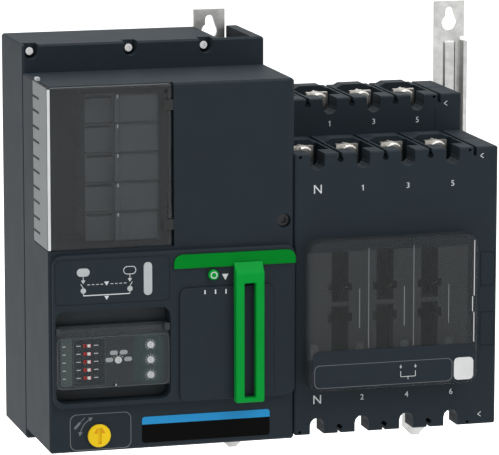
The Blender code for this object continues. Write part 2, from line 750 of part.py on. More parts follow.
def barrier_grooves(prefix, front, back, top):
    """Grooves along the top of each barrier and of the end wall, for phase barriers."""
    half = SLOT_KEYHOLE_WIDTH / 2
    middle = SWITCH_LEFT + POLE_PITCH
    groove = block(
        prefix + "_grooves",
        (middle - half, middle + half),
        (front - BOOLEAN_OVERRUN, back + BOOLEAN_OVERRUN),
        (top - GROOVE_DEPTH, top + BOOLEAN_OVERRUN),
    )
    return repeat(groove, POLE_COUNT, (POLE_PITCH, 0, 0))


def terminal_hoods(prefix, front, top):
    """A raised hood with sloped corners behind each line terminal."""
    half = HOOD_WIDTH / 2
    left = FIRST_POLE_X - half
    right = FIRST_POLE_X + half
    outline = [
        (left, top - HOOD_RISE),
        (right, top - HOOD_RISE),
        (right, top),
        (right - HOOD_CHAMFER, top + HOOD_RISE),
        (left + HOOD_CHAMFER, top + HOOD_RISE),
        (left, top),
    ]
    start = front + CASE_FRONT_WALL + CHAMBER_REACH
    return pole_row(extruded(prefix + "_hoods", "Y", (start, start + HOOD_DEPTH), [outline]))


def link_passage():
    half = LINK_WIDTH / 2 + GAP
    tall = LINK_THICKNESS / 2 + GAP
    start = SWITCH_FRONT + CASE_FRONT_WALL + CHAMBER_REACH
    span = (start - BOOLEAN_OVERRUN, SWITCH_DIVIDE + CASE_FRONT_WALL + BOOLEAN_OVERRUN)
    hole = block(
        "link_passage",
        (FIRST_POLE_X - half, FIRST_POLE_X + half),
        span,
        (LINK_Z - tall, LINK_Z + tall),
    )
    return pole_row(hole)


def stepped_slot(name, bottom, top, step):
    """A tall slot with one wider step, on the line between the first two poles."""
    x = SWITCH_LEFT + POLE_PITCH
    half = POLE_SLOT_WIDTH / 2
    wide = POLE_STEP_WIDTH / 2
    right = [(half, bottom), (half, step[0]), (wide, step[0]), (wide, step[1]), (half, step[1]), (half, top)]
    left = [(-across, z) for across, z in reversed(right)]
    outline = [(x + across, z) for across, z in right + left]
    return extruded(name, "Y", (SWITCH_FRONT - BOOLEAN_OVERRUN, SWITCH_FRONT + POLE_SLOT_DEPTH), [outline])


def pole_slots():
    """Blind stepped slots between neighbouring poles, under the clear cover."""
    upper = stepped_slot("upper_pole_slot", POLE_BAR[1], POLE_SLOT_TOP, POLE_STEP_UPPER)
    lower = stepped_slot("lower_pole_slot", POLE_SLOT_BOTTOM, POLE_BAR[0], POLE_STEP_LOWER)
    return [pole_row(slot, POLE_COUNT - 1) for slot in (upper, lower)]


def switch_cases():
    x = (SWITCH_LEFT, SWITCH_RIGHT)
    passage = link_passage()
    z_1 = (SWITCH_BOTTOM, SWITCH_1_TOP)
    z_2 = (SWITCH_BOTTOM, SWITCH_2_TOP)
    front_1 = block("switch_1_front_case", x, (SWITCH_FRONT, AXIS_1_Y - GAP / 2), z_1)
    rear_1 = block("switch_1_rear_case", x, (AXIS_1_Y + GAP / 2, SWITCH_1_BACK), z_1)
    front_2 = block("switch_2_front_case", x, (SWITCH_DIVIDE, AXIS_2_Y - GAP / 2), z_2)
    rear_2 = block("switch_2_rear_case", x, (AXIS_2_Y + GAP / 2, BODY_BACK), z_2)
    for half in (front_1, rear_1, front_2, rear_2):
        bevel(half, CASE_BEVEL)
    fuse(rear_1, terminal_hoods("line_1", SWITCH_FRONT, SWITCH_1_TOP))
    fuse(rear_2, terminal_hoods("line_2", SWITCH_DIVIDE, SWITCH_2_TOP))
    shared_1 = case_cutters("switch_1", SWITCH_FRONT, AXIS_1_Y, SWITCH_1_TOP)
    shared_1.append(barrier_grooves("line_1", SWITCH_FRONT, SWITCH_1_BACK, SWITCH_1_TOP))
    shared_2 = case_cutters("switch_2", SWITCH_DIVIDE, AXIS_2_Y, SWITCH_2_TOP)
    shared_2.append(barrier_grooves("line_2", SWITCH_DIVIDE, BODY_BACK, SWITCH_2_TOP))
    cut(front_1, *shared_1)
    cut(front_1, *wall_notches("line_1", SWITCH_FRONT, SWITCH_1_TOP, -1))
    cut(front_1, *wall_notches("load_1", SWITCH_FRONT, SWITCH_BOTTOM, 1))
    manifold_solver(cut(front_1, *pole_slots()))
    cut(rear_1, *shared_1, passage)
    cut(front_2, *shared_2, *wall_notches("line_2", SWITCH_DIVIDE, SWITCH_2_TOP, -1), passage)
    holes = [stud_hole(f"right_stud_hole_{i}", RIGHT_FOOT_X, z) for i, z in enumerate(RIGHT_STUD_Z)]
    cut(rear_2, *shared_2, *holes)
    for half in (front_1, rear_1, front_2, rear_2):
        place(half, "dark")


def window_cover():
    outside = rounded(WINDOW_LEFT, WINDOW_RIGHT, WINDOW_BOTTOM, WINDOW_TOP, WINDOW_RADIUS)
    inside = rounded(
        WINDOW_LEFT + WINDOW_WALL,
        WINDOW_RIGHT - WINDOW_WALL,
        WINDOW_BOTTOM + WINDOW_WALL,
        WINDOW_TOP - WINDOW_WALL,
        WINDOW_RADIUS - WINDOW_WALL,
    )
    back = SWITCH_FRONT - GAP
    cover = extruded("window_cover", "Y", (back - WINDOW_RISE, back), [outside])
    hollow_span = (back - WINDOW_RISE + WINDOW_WALL, back + BOOLEAN_OVERRUN)
    hollow = extruded("window_hollow", "Y", hollow_span, [inside])
    bevel(cover, WINDOW_WALL / 2, angle=60)
    place(cut(cover, hollow), "clear")


# Conductors

POLE_NAMES = ("n", "a", "b", "c")


def bolt(prefix, y, z):
    """A round-headed bolt and washer through a pad, its head towards the front and its nut behind."""
    front = y - PAD_THICKNESS / 2
    back = y + PAD_THICKNESS / 2
    at = (FIRST_POLE_X, z)
    sunk = PAD_THICKNESS / 4
    washer = rod(prefix + "_washer", "Y", (front - WASHER_THICKNESS, front + sunk), at, WASHER_RADIUS, 10)
    head_front = front - WASHER_THICKNESS - BOLT_HEAD_LENGTH
    head_span = (head_front, front - WASHER_THICKNESS + sunk)
    head = rod(prefix + "_head", "Y", head_span, at, BOLT_HEAD_RADIUS, 14)
    bevel(head, BOLT_HEAD_BEVEL)
    nut = rod(prefix + "_nut", "Y", (back - sunk, back + NUT_LENGTH), at, BOLT_HEAD_RADIUS, 6)
    return [washer, head, nut]


def pad(prefix, y, z):
    half = PAD_WIDTH / 2
    x = (FIRST_POLE_X - half, FIRST_POLE_X + half)
    return block(prefix, x, (y - PAD_THICKNESS / 2, y + PAD_THICKNESS / 2), z)


def jaw(prefix, y, z):
    half = BAR_THICKNESS / 2
    x = (FIRST_POLE_X - half, FIRST_POLE_X + half)
    return block(prefix, x, (y - BAR_DEPTH / 2, y + BAR_DEPTH / 2), z)


def line_terminals(prefix, axis_y, top):
    floor = top - LINE_CHAMBER_DEPTH
    terminal = pad(prefix, axis_y, (floor + GAP, top - PAD_MARGIN))
    contact = jaw(prefix + "_jaw", axis_y, (AXIS_Z + JAW_REACH, floor + PAD_THICKNESS))
    bake(fuse(terminal, contact, *bolt(prefix, axis_y, top - BOLT_DROP)))
    names = [f"{prefix}_{pole}" for pole in POLE_NAMES]
    for piece in copies(terminal, names, (POLE_PITCH, 0, 0)):
        place(piece, "copper")


def load_bars():
    """Each pole's load bar joins both switches' lower contacts to the front switch's load pad."""
    half = LINK_WIDTH / 2
    bar = pad("load_bar", AXIS_1_Y, (SWITCH_BOTTOM + PAD_MARGIN, LOAD_CEILING - GAP))
    top = AXIS_Z - JAW_REACH
    front_jaw = jaw("front_load_jaw", AXIS_1_Y, (LOAD_CEILING - PAD_THICKNESS, top))
    rear_jaw = jaw("rear_load_jaw", AXIS_2_Y, (LINK_Z, top))
    link = block(
        "load_link",
        (FIRST_POLE_X - half, FIRST_POLE_X + half),
        (AXIS_1_Y, AXIS_2_Y + BAR_DEPTH / 2),
        (LINK_Z - LINK_THICKNESS / 2, LINK_Z + LINK_THICKNESS / 2),
    )
    pieces = bolt("load", AXIS_1_Y, SWITCH_BOTTOM + BOLT_DROP)
    bake(fuse(bar, link, front_jaw, rear_jaw, *pieces))
    names = [f"load_bar_{pole}" for pole in POLE_NAMES]
    for piece in copies(bar, names, (POLE_PITCH, 0, 0)):
        place(piece, "copper")


def rotor(name, axis_y, quarter_turns):
    """A square shaft with a pair of blades at each pole, and a round journal into the module."""
    half = ROTOR_SQUARE / 2
    end = SWITCH_LEFT + POLE_COUNT * POLE_PITCH - BARRIER / 2
    shaft = block(name, (SWITCH_LEFT, end), (axis_y - half, axis_y + half), (AXIS_Z - half, AXIS_Z + half))
    journal = rod(name + "_journal", "X", (SHAFT_LEFT, SWITCH_LEFT + half), (axis_y, AXIS_Z), JOURNAL_RADIUS)
    round_end = BLADE_WIDTH / 2
    reach = BLADE_LENGTH / 2 - round_end
    outline = arc((0, reach), round_end, 0, 180, 3) + arc((0, -reach), round_end, 180, 360, 3)
    near = BAR_THICKNESS / 2 + GAP
    blade = extruded(name + "_blade", "X", (-BLADE_THICKNESS / 2, BLADE_THICKNESS / 2), [outline])
    offset = near + BLADE_THICKNESS / 2
    blade.location = (FIRST_POLE_X - offset, axis_y, AXIS_Z)
    blade.rotation_euler.x = quarter_turns * pi / 2
    repeat(blade, 2, (2 * offset, 0, 0))
    pair_row = blade.modifiers.new("poles", "ARRAY")
    pair_row.count = POLE_COUNT
    pair_row.use_relative_offset = False
    pair_row.use_constant_offset = True
    pair_row.constant_offset_displace = (POLE_PITCH, 0, 0)
    set_origin(shaft, (SWITCH_LEFT, axis_y, AXIS_Z))
    place(fuse(shaft, journal, blade), "copper")


# Drive

def involute(radius, base):
    """The involute function at a radius."""
    if radius <= base:
        return 0.0
    angle = acos(base / radius)
    return tan(angle) - angle


def gear_outline(centre, teeth, pitch_radius, first_angle):
    """A spur gear's outline, each flank the chord of an involute; a tooth is centred on first_angle."""
    base = pitch_radius * cos(PRESSURE_ANGLE)
    root = pitch_radius - DEDENDUM * GEAR_MODULE
    tip = pitch_radius + ADDENDUM * GEAR_MODULE
    at_pitch = pi / (2 * teeth) - GEAR_BACKLASH / (2 * pitch_radius)
    flank = (root, tip)
    points = []
    for tooth in range(teeth):
        middle = first_angle + 2 * pi * tooth / teeth
        for side in (-1, 1):
            for radius in flank if side < 0 else reversed(flank):
                half = at_pitch + involute(pitch_radius, base) - involute(radius, base)
                angle = middle + side * half
                points.append((centre[0] + radius * cos(angle), centre[1] + radius * sin(angle)))
    return points


def gear(name, centre, teeth, pitch_radius, first_angle, bore):
    outline = gear_outline(centre, teeth, pitch_radius, first_angle)
    loops = [outline] + ([circle(centre, bore)] if bore else [])
    wheel = extruded(name, "X", (GEAR_RIGHT - GEAR_WIDTH, GEAR_RIGHT), loops)
    return set_origin(wheel, (GEAR_X, *centre))


def gear_train():
    half_tooth = pi / GEAR_TEETH
    bore = JOURNAL_RADIUS + GAP
    place(gear("rotor_gear_1", (AXIS_1_Y, AXIS_Z), GEAR_TEETH, GEAR_RADIUS, half_tooth, bore), "steel")
    place(gear("rotor_gear_2", (AXIS_2_Y, AXIS_Z), GEAR_TEETH, GEAR_RADIUS, half_tooth, bore), "steel")
    drive_axis = (DRIVE_Y, AXIS_Z)
    drive = gear("drive_gear", drive_axis, GEAR_TEETH, GEAR_RADIUS, 0, 0)
    shaft_span = (SHAFT_LEFT, GEAR_X)
    place(fuse(drive, rod("drive_shaft", "X", shaft_span, drive_axis, DRIVE_SHAFT_RADIUS)), "steel")
    pinion_axis = (DRIVE_Y, PINION_Z)
    pinion = gear("motor_pinion", pinion_axis, PINION_TEETH, PINION_RADIUS, pi / PINION_TEETH, 0)
    pinion_shaft = rod("pinion_shaft", "X", shaft_span, pinion_axis, PINION_SHAFT_RADIUS, 16)
    place(fuse(pinion, pinion_shaft), "steel")


def gear_plate():
    front = AXIS_1_Y - GEAR_PLATE_MARGIN
    back = BODY_BACK - MODULE_BACK_WALL - GAP
    bottom = PINION_Z - GEAR_PLATE_MARGIN
    outline = rounded(front, back, bottom, AXIS_Z + GEAR_PLATE_MARGIN, GEAR_PLATE_RADIUS)
    holes = [circle((y, AXIS_Z), JOURNAL_RADIUS + GAP, 16) for y in (AXIS_1_Y, AXIS_2_Y)]
    holes.append(circle((DRIVE_Y, AXIS_Z), DRIVE_SHAFT_RADIUS + GAP, 16))
    holes.append(circle((DRIVE_Y, PINION_Z), PINION_SHAFT_RADIUS + GAP, 16))
    plate = extruded("gear_plate", "X", (PLATE_LEFT, PLATE_RIGHT), [outline, *holes])
    base = block(
        "gear_plate_foot",
        (PLATE_LEFT - GEAR_PLATE_FOOT, PLATE_LEFT + GEAR_PLATE_THICKNESS / 2),
        (back - GEAR_PLATE_THICKNESS, back),
        (PINION_Z - GEAR_PLATE_MARGIN / 2, AXIS_Z + GEAR_PLATE_MARGIN / 2),
    )
    place(fuse(plate, base), "zinc")


def drive_motor():
    right = PLATE_LEFT - GAP
    axis = (DRIVE_Y, PINION_Z)
    motor = rod("drive_motor", "X", (right - MOTOR_LENGTH, right), axis, MOTOR_RADIUS)
    bevel(motor, MOTOR_BEVEL)
    cap_span = (right - MOTOR_LENGTH - MOTOR_CAP_LENGTH, right - MOTOR_LENGTH / 2)
    cap = rod("motor_cap", "X", cap_span, axis, MOTOR_CAP_RADIUS, 12)
    seat_span = (SHAFT_LEFT - GAP, right + BOOLEAN_OVERRUN)
    seat = rod("motor_seat", "X", seat_span, axis, PINION_SHAFT_RADIUS + GAP, 16)
    place(cut(fuse(motor, cap), seat), "steel")


# Control module

def ledge_screws():
    centre_z = MODULE_TOP - LEDGE_SCREW_DROP
    face = -LEDGE_DEPTH + LEDGE_POCKET_DEPTH
    for number, x in enumerate(LEDGE_SCREW_X, start=1):
        at = (x, centre_z)
        head_span = (face - GAP - SCREW_HEAD_LENGTH, face - GAP)
        head = rod(f"ledge_screw_{number}", "Y", head_span, at, SCREW_HEAD_RADIUS, 14)
        shank_span = (face - SCREW_HEAD_LENGTH / 2, face + SCREW_SHANK_LENGTH)
        shank = rod(f"ledge_shank_{number}", "Y", shank_span, at, SCREW_SHANK_RADIUS, 8)
        socket_span = (face - SCREW_HEAD_LENGTH - BOOLEAN_OVERRUN, face - SCREW_HEAD_LENGTH / 2)
        socket = rod(f"ledge_socket_{number}", "Y", socket_span, at, SCREW_SHANK_RADIUS, 6)
        place(cut(fuse(head, shank), socket), "steel")


def rear_housing():
    x = (MODULE_LEFT, MODULE_RIGHT)
    z = (-MODULE_TOP, MODULE_TOP)
    housing = block("rear_housing", x, (-LEDGE_DEPTH, BODY_BACK), z)
    bevel(housing, MODULE_BEVEL)
    wall = MODULE_WALL
    hollow = block(
        "rear_hollow",
        (x[0] + wall, x[1] - wall),
        (-LEDGE_DEPTH + wall, BODY_BACK - MODULE_BACK_WALL),
        (z[0] + wall, z[1] - wall),
    )
    mouth = block(
        "rear_mouth",
        (x[0] + wall, x[1] - wall),
        (-LEDGE_DEPTH - BOOLEAN_OVERRUN, -LEDGE_DEPTH + 2 * wall),
        (FRONT_BOTTOM + wall, FRONT_TOP - wall),
    )
    cut(housing, hollow, mouth)
    centre_z = MODULE_TOP - LEDGE_SCREW_DROP
    boss_half = LEDGE_POCKET_RADIUS + wall
    for number, boss_x in enumerate(LEDGE_SCREW_X):
        boss_left = max(boss_x - boss_half, x[0] + wall / 2)
        boss = block(
            f"ledge_boss_{number}",
            (boss_left, boss_x + boss_half),
            (-LEDGE_DEPTH + GAP, -LEDGE_DEPTH + LEDGE_BOSS_DEPTH),
            (centre_z - boss_half, MODULE_TOP - wall / 2),
        )
        fuse(housing, boss)
    pocket_half = STRIP_WIDTH / 2 + KEYHOLE_POCKET_SIDE
    pocket_x = (LEFT_STRIP_X - pocket_half, LEFT_STRIP_X + pocket_half)
    pocket_floor = MODULE_TOP - KEYHOLE_POCKET_DEPTH
    surround = block(
        "keyhole_surround",
        (pocket_x[0] - wall, pocket_x[1] + wall),
        (-LEDGE_DEPTH + GAP, BODY_BACK - MODULE_BACK_WALL / 2),
        (pocket_floor - wall, MODULE_TOP - wall / 2),
    )
    fuse(housing, surround)
    pocket = block(
        "keyhole_pocket",
        pocket_x,
        (-LEDGE_DEPTH + wall, BODY_BACK + BOOLEAN_OVERRUN),
        (pocket_floor, MODULE_TOP + BOOLEAN_OVERRUN),
    )
    cut(housing, pocket)
    pocket_span = (-LEDGE_DEPTH - BOOLEAN_OVERRUN, -LEDGE_DEPTH + LEDGE_POCKET_DEPTH)
    shank_span = (-LEDGE_DEPTH, -LEDGE_DEPTH + LEDGE_POCKET_DEPTH + SCREW_SHANK_LENGTH + GAP)
    for number, screw_x in enumerate(LEDGE_SCREW_X):
        at = (screw_x, centre_z)
        points = arc(at, LEDGE_POCKET_RADIUS, 180, 360, 10)
        above = MODULE_TOP + BOOLEAN_OVERRUN
        points += [(points[-1][0], above), (points[0][0], above)]
        cut(housing, extruded(f"ledge_pocket_{number}", "Y", pocket_span, [points]))
        cut(housing, rod(f"ledge_hole_{number}", "Y", shank_span, at, SCREW_SHANK_RADIUS + GAP, 8))
    right_wall = (MODULE_RIGHT - MODULE_WALL - BOOLEAN_OVERRUN, MODULE_RIGHT + BOOLEAN_OVERRUN)
    cut(housing, rod("rear_shaft_hole", "X", right_wall, (AXIS_2_Y, AXIS_Z), SHAFT_BORE, 12))
    cut(housing, *[stud_hole(f"left_stud_hole_{i}", LEFT_STRIP_X, z) for i, z in enumerate(LEFT_STUD_Z)])
    place(manifold_solver(housing), "dark")


def cover_lug_heights():
    return (BAY_BOTTOM + COVER_LUG_INSET, FRONT_TOP - COVER_LUG_INSET - COVER_LUG_HEIGHT)


def front_cover():
    x = (MODULE_LEFT, MODULE_RIGHT)
    back = -LEDGE_DEPTH - GAP
    wall = MODULE_WALL
    cover = block("front_cover", x, (FRONT_PLANE, back), (FRONT_BOTTOM, FRONT_TOP))
    bevel(cover, MODULE_BEVEL)
    plateau_span = (PLATEAU_FRONT, FRONT_PLANE + wall / 2)
    plateau_right = MODULE_RIGHT - GAP
    plateau_outline = rounded(PLATEAU_LEFT, plateau_right, PLATEAU_BOTTOM, PLATEAU_TOP, PLATEAU_RADIUS)
    plateau = extruded("plateau", "Y", plateau_span, [plateau_outline])
    bevel(plateau, PLATEAU_RISE / 3, angle=60)
    fuse(cover, plateau)
    inside_x = (x[0] + wall, x[1] - wall)
    inside_back = back + BOOLEAN_OVERRUN
    behind_bay = BAY_FLOOR + wall
    inside_z = (FRONT_BOTTOM + wall, FRONT_TOP - wall)
    rear_space = block("cover_rear_space", inside_x, (behind_bay, inside_back), inside_z)
    front_y = (FRONT_PLANE + wall, behind_bay + wall)
    low_space = block("cover_low_space", inside_x, front_y, (FRONT_BOTTOM + wall, BAY_BOTTOM - wall))
    right_space = block(
        "cover_right_space",
        (BAY_RIGHT + wall, inside_x[1]),
        front_y,
        (BAY_BOTTOM - 2 * wall, FRONT_TOP - wall),
    )
    bay = block(
        "function_bay",
        (x[0] - BOOLEAN_OVERRUN, BAY_RIGHT),
        (FRONT_PLANE - BOOLEAN_OVERRUN, BAY_FLOOR),
        (BAY_BOTTOM, FRONT_TOP + BOOLEAN_OVERRUN),
    )
    cut(cover, rear_space, low_space, right_space, bay)
    recess_wall = block(
        "recess_wall",
        (RECESS_LEFT - wall / 2, RECESS_RIGHT + wall),
        (FRONT_PLANE + wall / 2, RECESS_FLOOR + wall),
        (RECESS_BOTTOM - wall, RECESS_TOP + wall),
    )
    recess_span = (PLATEAU_FRONT - BOOLEAN_OVERRUN, RECESS_FLOOR)
    recess_outline = rounded(RECESS_LEFT, RECESS_RIGHT, RECESS_BOTTOM, RECESS_TOP, RECESS_RADIUS)
    recess = extruded("settings_recess", "Y", recess_span, [recess_outline])
    screw_at = (FRONT_SCREW_X, FRONT_SCREW_Z)
    screw_floor = FRONT_PLANE + FRONT_SCREW_RECESS
    boss_span = (FRONT_PLANE + wall / 2, screw_floor + SCREW_SHANK_LENGTH)
    boss_half = MODULE_RIGHT - wall / 2 - FRONT_SCREW_X
    boss = block(
        "front_screw_boss",
        (FRONT_SCREW_X - boss_half, FRONT_SCREW_X + boss_half),
        boss_span,
        (FRONT_SCREW_Z - boss_half, FRONT_SCREW_Z + boss_half),
    )
    roof = block(
        "bay_roof",
        (MODULE_LEFT + COVER_WALL + GAP, BAY_RIGHT + wall / 2),
        (COVER_AXIS_Y + COVER_BARREL_RADIUS + GAP, BAY_FLOOR + wall / 2),
        (FRONT_TOP - wall, FRONT_TOP),
    )
    fuse(cover, recess_wall, boss, roof)
    for number, z in enumerate(cover_lug_heights()):
        lug = block(
            f"cover_lug_{number}",
            (COVER_AXIS_X - COVER_HINGE_INSET, BAY_RIGHT + wall / 2),
            (COVER_AXIS_Y - COVER_BARREL_RADIUS, COVER_AXIS_Y + COVER_HINGE_INSET),
            (z, z + COVER_LUG_HEIGHT),
        )
        fuse(cover, lug)
    pin_span = (BAY_BOTTOM - BOOLEAN_OVERRUN / 2, FRONT_TOP + BOOLEAN_OVERRUN)
    pin_bore = rod("cover_pin_bore", "Z", pin_span, (COVER_AXIS_X, COVER_AXIS_Y), COVER_PIN_RADIUS + GAP, 8)
    front_wall = (PLATEAU_FRONT - BOOLEAN_OVERRUN, FRONT_PLANE + wall + BOOLEAN_OVERRUN)
    button_hole = rod("button_hole", "Y", front_wall, (BUTTON_X, BUTTON_Z), BUTTON_RADIUS + GAP)
    selector_at = (SELECTOR_X, SELECTOR_Z)
    selector_hole = rod("selector_hole", "Y", front_wall, selector_at, SELECTOR_SHAFT_RADIUS + GAP, 12)
    screw_span = (FRONT_PLANE - BOOLEAN_OVERRUN, screw_floor)
    screw_hole = rod("front_screw_hole", "Y", screw_span, screw_at, FRONT_SCREW_HOLE)
    shank_span = (FRONT_PLANE, screw_floor + SCREW_SHANK_LENGTH + BOOLEAN_OVERRUN)
    shank_hole = rod("front_shank_hole", "Y", shank_span, screw_at, SCREW_SHANK_RADIUS + GAP, 8)
    tongue_slot = block(
        "tongue_slot",
        (TONGUE_LEFT - GAP, TONGUE_LEFT + TONGUE_LENGTH + SLIDER_TRAVEL + GAP),
        front_wall,
        (TONGUE_Z - TONGUE_HEIGHT / 2 - GAP, TONGUE_Z + TONGUE_HEIGHT / 2 + GAP),
    )
    strip_seat_outline = rounded(
        WINDOW_STRIP_X - WINDOW_STRIP_WIDTH / 2 - GAP,
        WINDOW_STRIP_X + WINDOW_STRIP_WIDTH / 2 + GAP,
        WINDOW_STRIP_Z - WINDOW_STRIP_HEIGHT / 2 - GAP,
        WINDOW_STRIP_Z + WINDOW_STRIP_HEIGHT / 2 + GAP,
        WINDOW_STRIP_WIDTH / 2 - GAP,
    )
    seat_span = (PLATEAU_FRONT - BOOLEAN_OVERRUN, PLATEAU_FRONT + BAND_THICKNESS)
    strip_seat = extruded("window_strip_seat", "Y", seat_span, [strip_seat_outline])
    right_wall = (MODULE_RIGHT - wall - BOOLEAN_OVERRUN, MODULE_RIGHT + BOOLEAN_OVERRUN)
    shaft_hole = rod("front_shaft_hole", "X", right_wall, (AXIS_1_Y, AXIS_Z), SHAFT_BORE, 12)
    cut(cover, recess, pin_bore, button_hole, selector_hole, screw_hole, shank_hole)
    cut(cover, tongue_slot, strip_seat, shaft_hole)
    place(cover, "dark")


def front_screw():
    at = (FRONT_SCREW_X, FRONT_SCREW_Z)
    floor = FRONT_PLANE + FRONT_SCREW_RECESS - GAP
    head = rod("front_screw", "Y", (floor - SCREW_HEAD_LENGTH, floor), at, FRONT_SCREW_HOLE - 2 * GAP)
    shank_span = (floor - SCREW_HEAD_LENGTH / 2, floor + SCREW_SHANK_LENGTH)
    shank = rod("front_shank", "Y", shank_span, at, SCREW_SHANK_RADIUS, 8)
    socket_span = (floor - SCREW_HEAD_LENGTH - BOOLEAN_OVERRUN, floor - SCREW_HEAD_LENGTH / 2)
    socket = rod("front_socket", "Y", socket_span, at, FRONT_SCREW_HOLE / 2, 6)
    place(cut(fuse(head, shank), socket), "steel")


def function_modules():
    """Five plug-in modules, each with a stepped front and a slot for wires on its left."""
    z = (INSERT_TOP - INSERT_PITCH + INSERT_SEAM, INSERT_TOP)
    front = BAY_FLOOR - INSERT_DEPTH
    back = BAY_FLOOR - GAP
    module = block("function_module", (INSERT_LEFT, INSERT_RIGHT), (front, back), z)
    step = block(
        "module_step",
        (INSERT_LEFT - BOOLEAN_OVERRUN, INSERT_STEP),
        (front - BOOLEAN_OVERRUN, front + INSERT_STEP_DEPTH),
        (z[0] - BOOLEAN_OVERRUN, z[1] + BOOLEAN_OVERRUN),
    )
    slot_top = z[1] - INSERT_SEAM
    slot = block(
        "wire_slot",
        (INSERT_LEFT + INSERT_SEAM, INSERT_STEP - INSERT_SEAM),
        (front, front + INSERT_STEP_DEPTH + INSERT_SLOT_DEPTH),
        (slot_top - INSERT_SLOT_HEIGHT, slot_top),
    )
    bevel(module, INSERT_SEAM)
    bake(cut(module, step, slot))
    names = [f"function_module_{number}" for number in range(1, INSERT_COUNT + 1)]
    for piece in copies(module, names, (0, 0, -INSERT_PITCH)):
        place(piece, "grey")


def module_cover():
    """The clear cover closes the bay's front and left side, and swings on its right edge."""
    wall = COVER_WALL
    bottom = BAY_BOTTOM + GAP
    axis = (COVER_AXIS_X, COVER_AXIS_Y)
    y = (FRONT_PLANE, BAY_FLOOR - GAP)
    right = COVER_AXIS_X + COVER_BARREL_RADIUS / 2
    cover = block("module_cover", (MODULE_LEFT, right), y, (bottom, FRONT_TOP))
    bevel(cover, wall / 2)
    hollow = block(
        "module_cover_hollow",
        (MODULE_LEFT + wall, COVER_AXIS_X + BOOLEAN_OVERRUN),
        (FRONT_PLANE + wall, y[1] + BOOLEAN_OVERRUN),
        (bottom - BOOLEAN_OVERRUN, FRONT_TOP + BOOLEAN_OVERRUN),
    )
    slit = block(
        "knockout_slit",
        (MODULE_LEFT - BOOLEAN_OVERRUN, MODULE_LEFT + wall + BOOLEAN_OVERRUN),
        (y[1] - KNOCKOUT_DEPTH, y[1] + BOOLEAN_OVERRUN),
        (FRONT_TOP - KNOCKOUT_TOP, FRONT_TOP - KNOCKOUT_TOP + KNOCKOUT_SLIT),
    )
    repeat(slit, 2, (0, 0, KNOCKOUT_HEIGHT))
    rows = slit.modifiers.new("rows", "ARRAY")
    rows.count = KNOCKOUT_COUNT
    rows.use_relative_offset = False
    rows.use_constant_offset = True
    rows.constant_offset_displace = (0, 0, -KNOCKOUT_PITCH)
    cut(cover, hollow, slit)
    for number, z in enumerate(cover_lug_heights()):
        low = z + COVER_LUG_HEIGHT + 2 * GAP
        knuckle_span = (low, low + COVER_LUG_HEIGHT)
        knuckle = rod(f"cover_knuckle_{number}", "Z", knuckle_span, axis, COVER_BARREL_RADIUS, 12)
        fuse(cover, knuckle)
        relief = block(
            f"lug_relief_{number}",
            (COVER_AXIS_X - 2 * COVER_HINGE_INSET, COVER_AXIS_X + 2 * COVER_HINGE_INSET),
            (FRONT_PLANE - BOOLEAN_OVERRUN, COVER_AXIS_Y + 2 * COVER_HINGE_INSET),
            (z - 2 * GAP, z + COVER_LUG_HEIGHT + 2 * GAP),
        )
        cut(cover, relief)
    bore_span = (bottom - BOOLEAN_OVERRUN, FRONT_TOP + BOOLEAN_OVERRUN)
    cut(cover, rod("cover_bore", "Z", bore_span, axis, COVER_PIN_RADIUS + GAP, 8))
    set_origin(cover, (*axis, bottom))
    place(manifold_solver(cover), "clear")
    pin_span = (BAY_BOTTOM - BOOLEAN_OVERRUN / 2 + GAP, FRONT_TOP - wall)
    place(rod("module_cover_pin", "Z", pin_span, axis, COVER_PIN_RADIUS, 8), "steel")


def plateau_trim():
    """The light strip window and the green band."""
    half_x = WINDOW_STRIP_WIDTH / 2
    half_z = WINDOW_STRIP_HEIGHT / 2
    outline = rounded(
        WINDOW_STRIP_X - half_x, WINDOW_STRIP_X + half_x,
        WINDOW_STRIP_Z - half_z, WINDOW_STRIP_Z + half_z, half_x - GAP,
    )
    span = (PLATEAU_FRONT - GAP, PLATEAU_FRONT + BAND_THICKNESS - GAP)
    place(extruded("status_window", "Y", span, [outline]), "grey")
    right = MODULE_RIGHT - 2 * GAP
    top_corners = arc((right - BAND_RADIUS, BAND_TOP - BAND_RADIUS), BAND_RADIUS, 0, 90, 5)
    top_corners += arc((BAND_LEFT + BAND_RADIUS, BAND_TOP - BAND_RADIUS), BAND_RADIUS, 90, 180, 5)
    outline = top_corners + [(BAND_LEFT, BAND_BOTTOM), (right, BAND_BOTTOM)]
    span = (PLATEAU_FRONT - GAP - BAND_THICKNESS, PLATEAU_FRONT - GAP)
    place(extruded("green_band", "Y", span, [outline]), "green")


def open_button():
    at = (BUTTON_X, BUTTON_Z)
    back = FRONT_PLANE + MODULE_WALL + GAP
    span = (PLATEAU_FRONT - BUTTON_RISE, back + BUTTON_FLANGE_LENGTH)
    button = rod("open_button", "Y", span, at, BUTTON_RADIUS)
    bevel(button, BUTTON_RISE / 5)
    flange = rod("button_flange", "Y", (back, back + BUTTON_FLANGE_LENGTH), at, BUTTON_FLANGE_RADIUS)
    place(fuse(button, flange), "green")


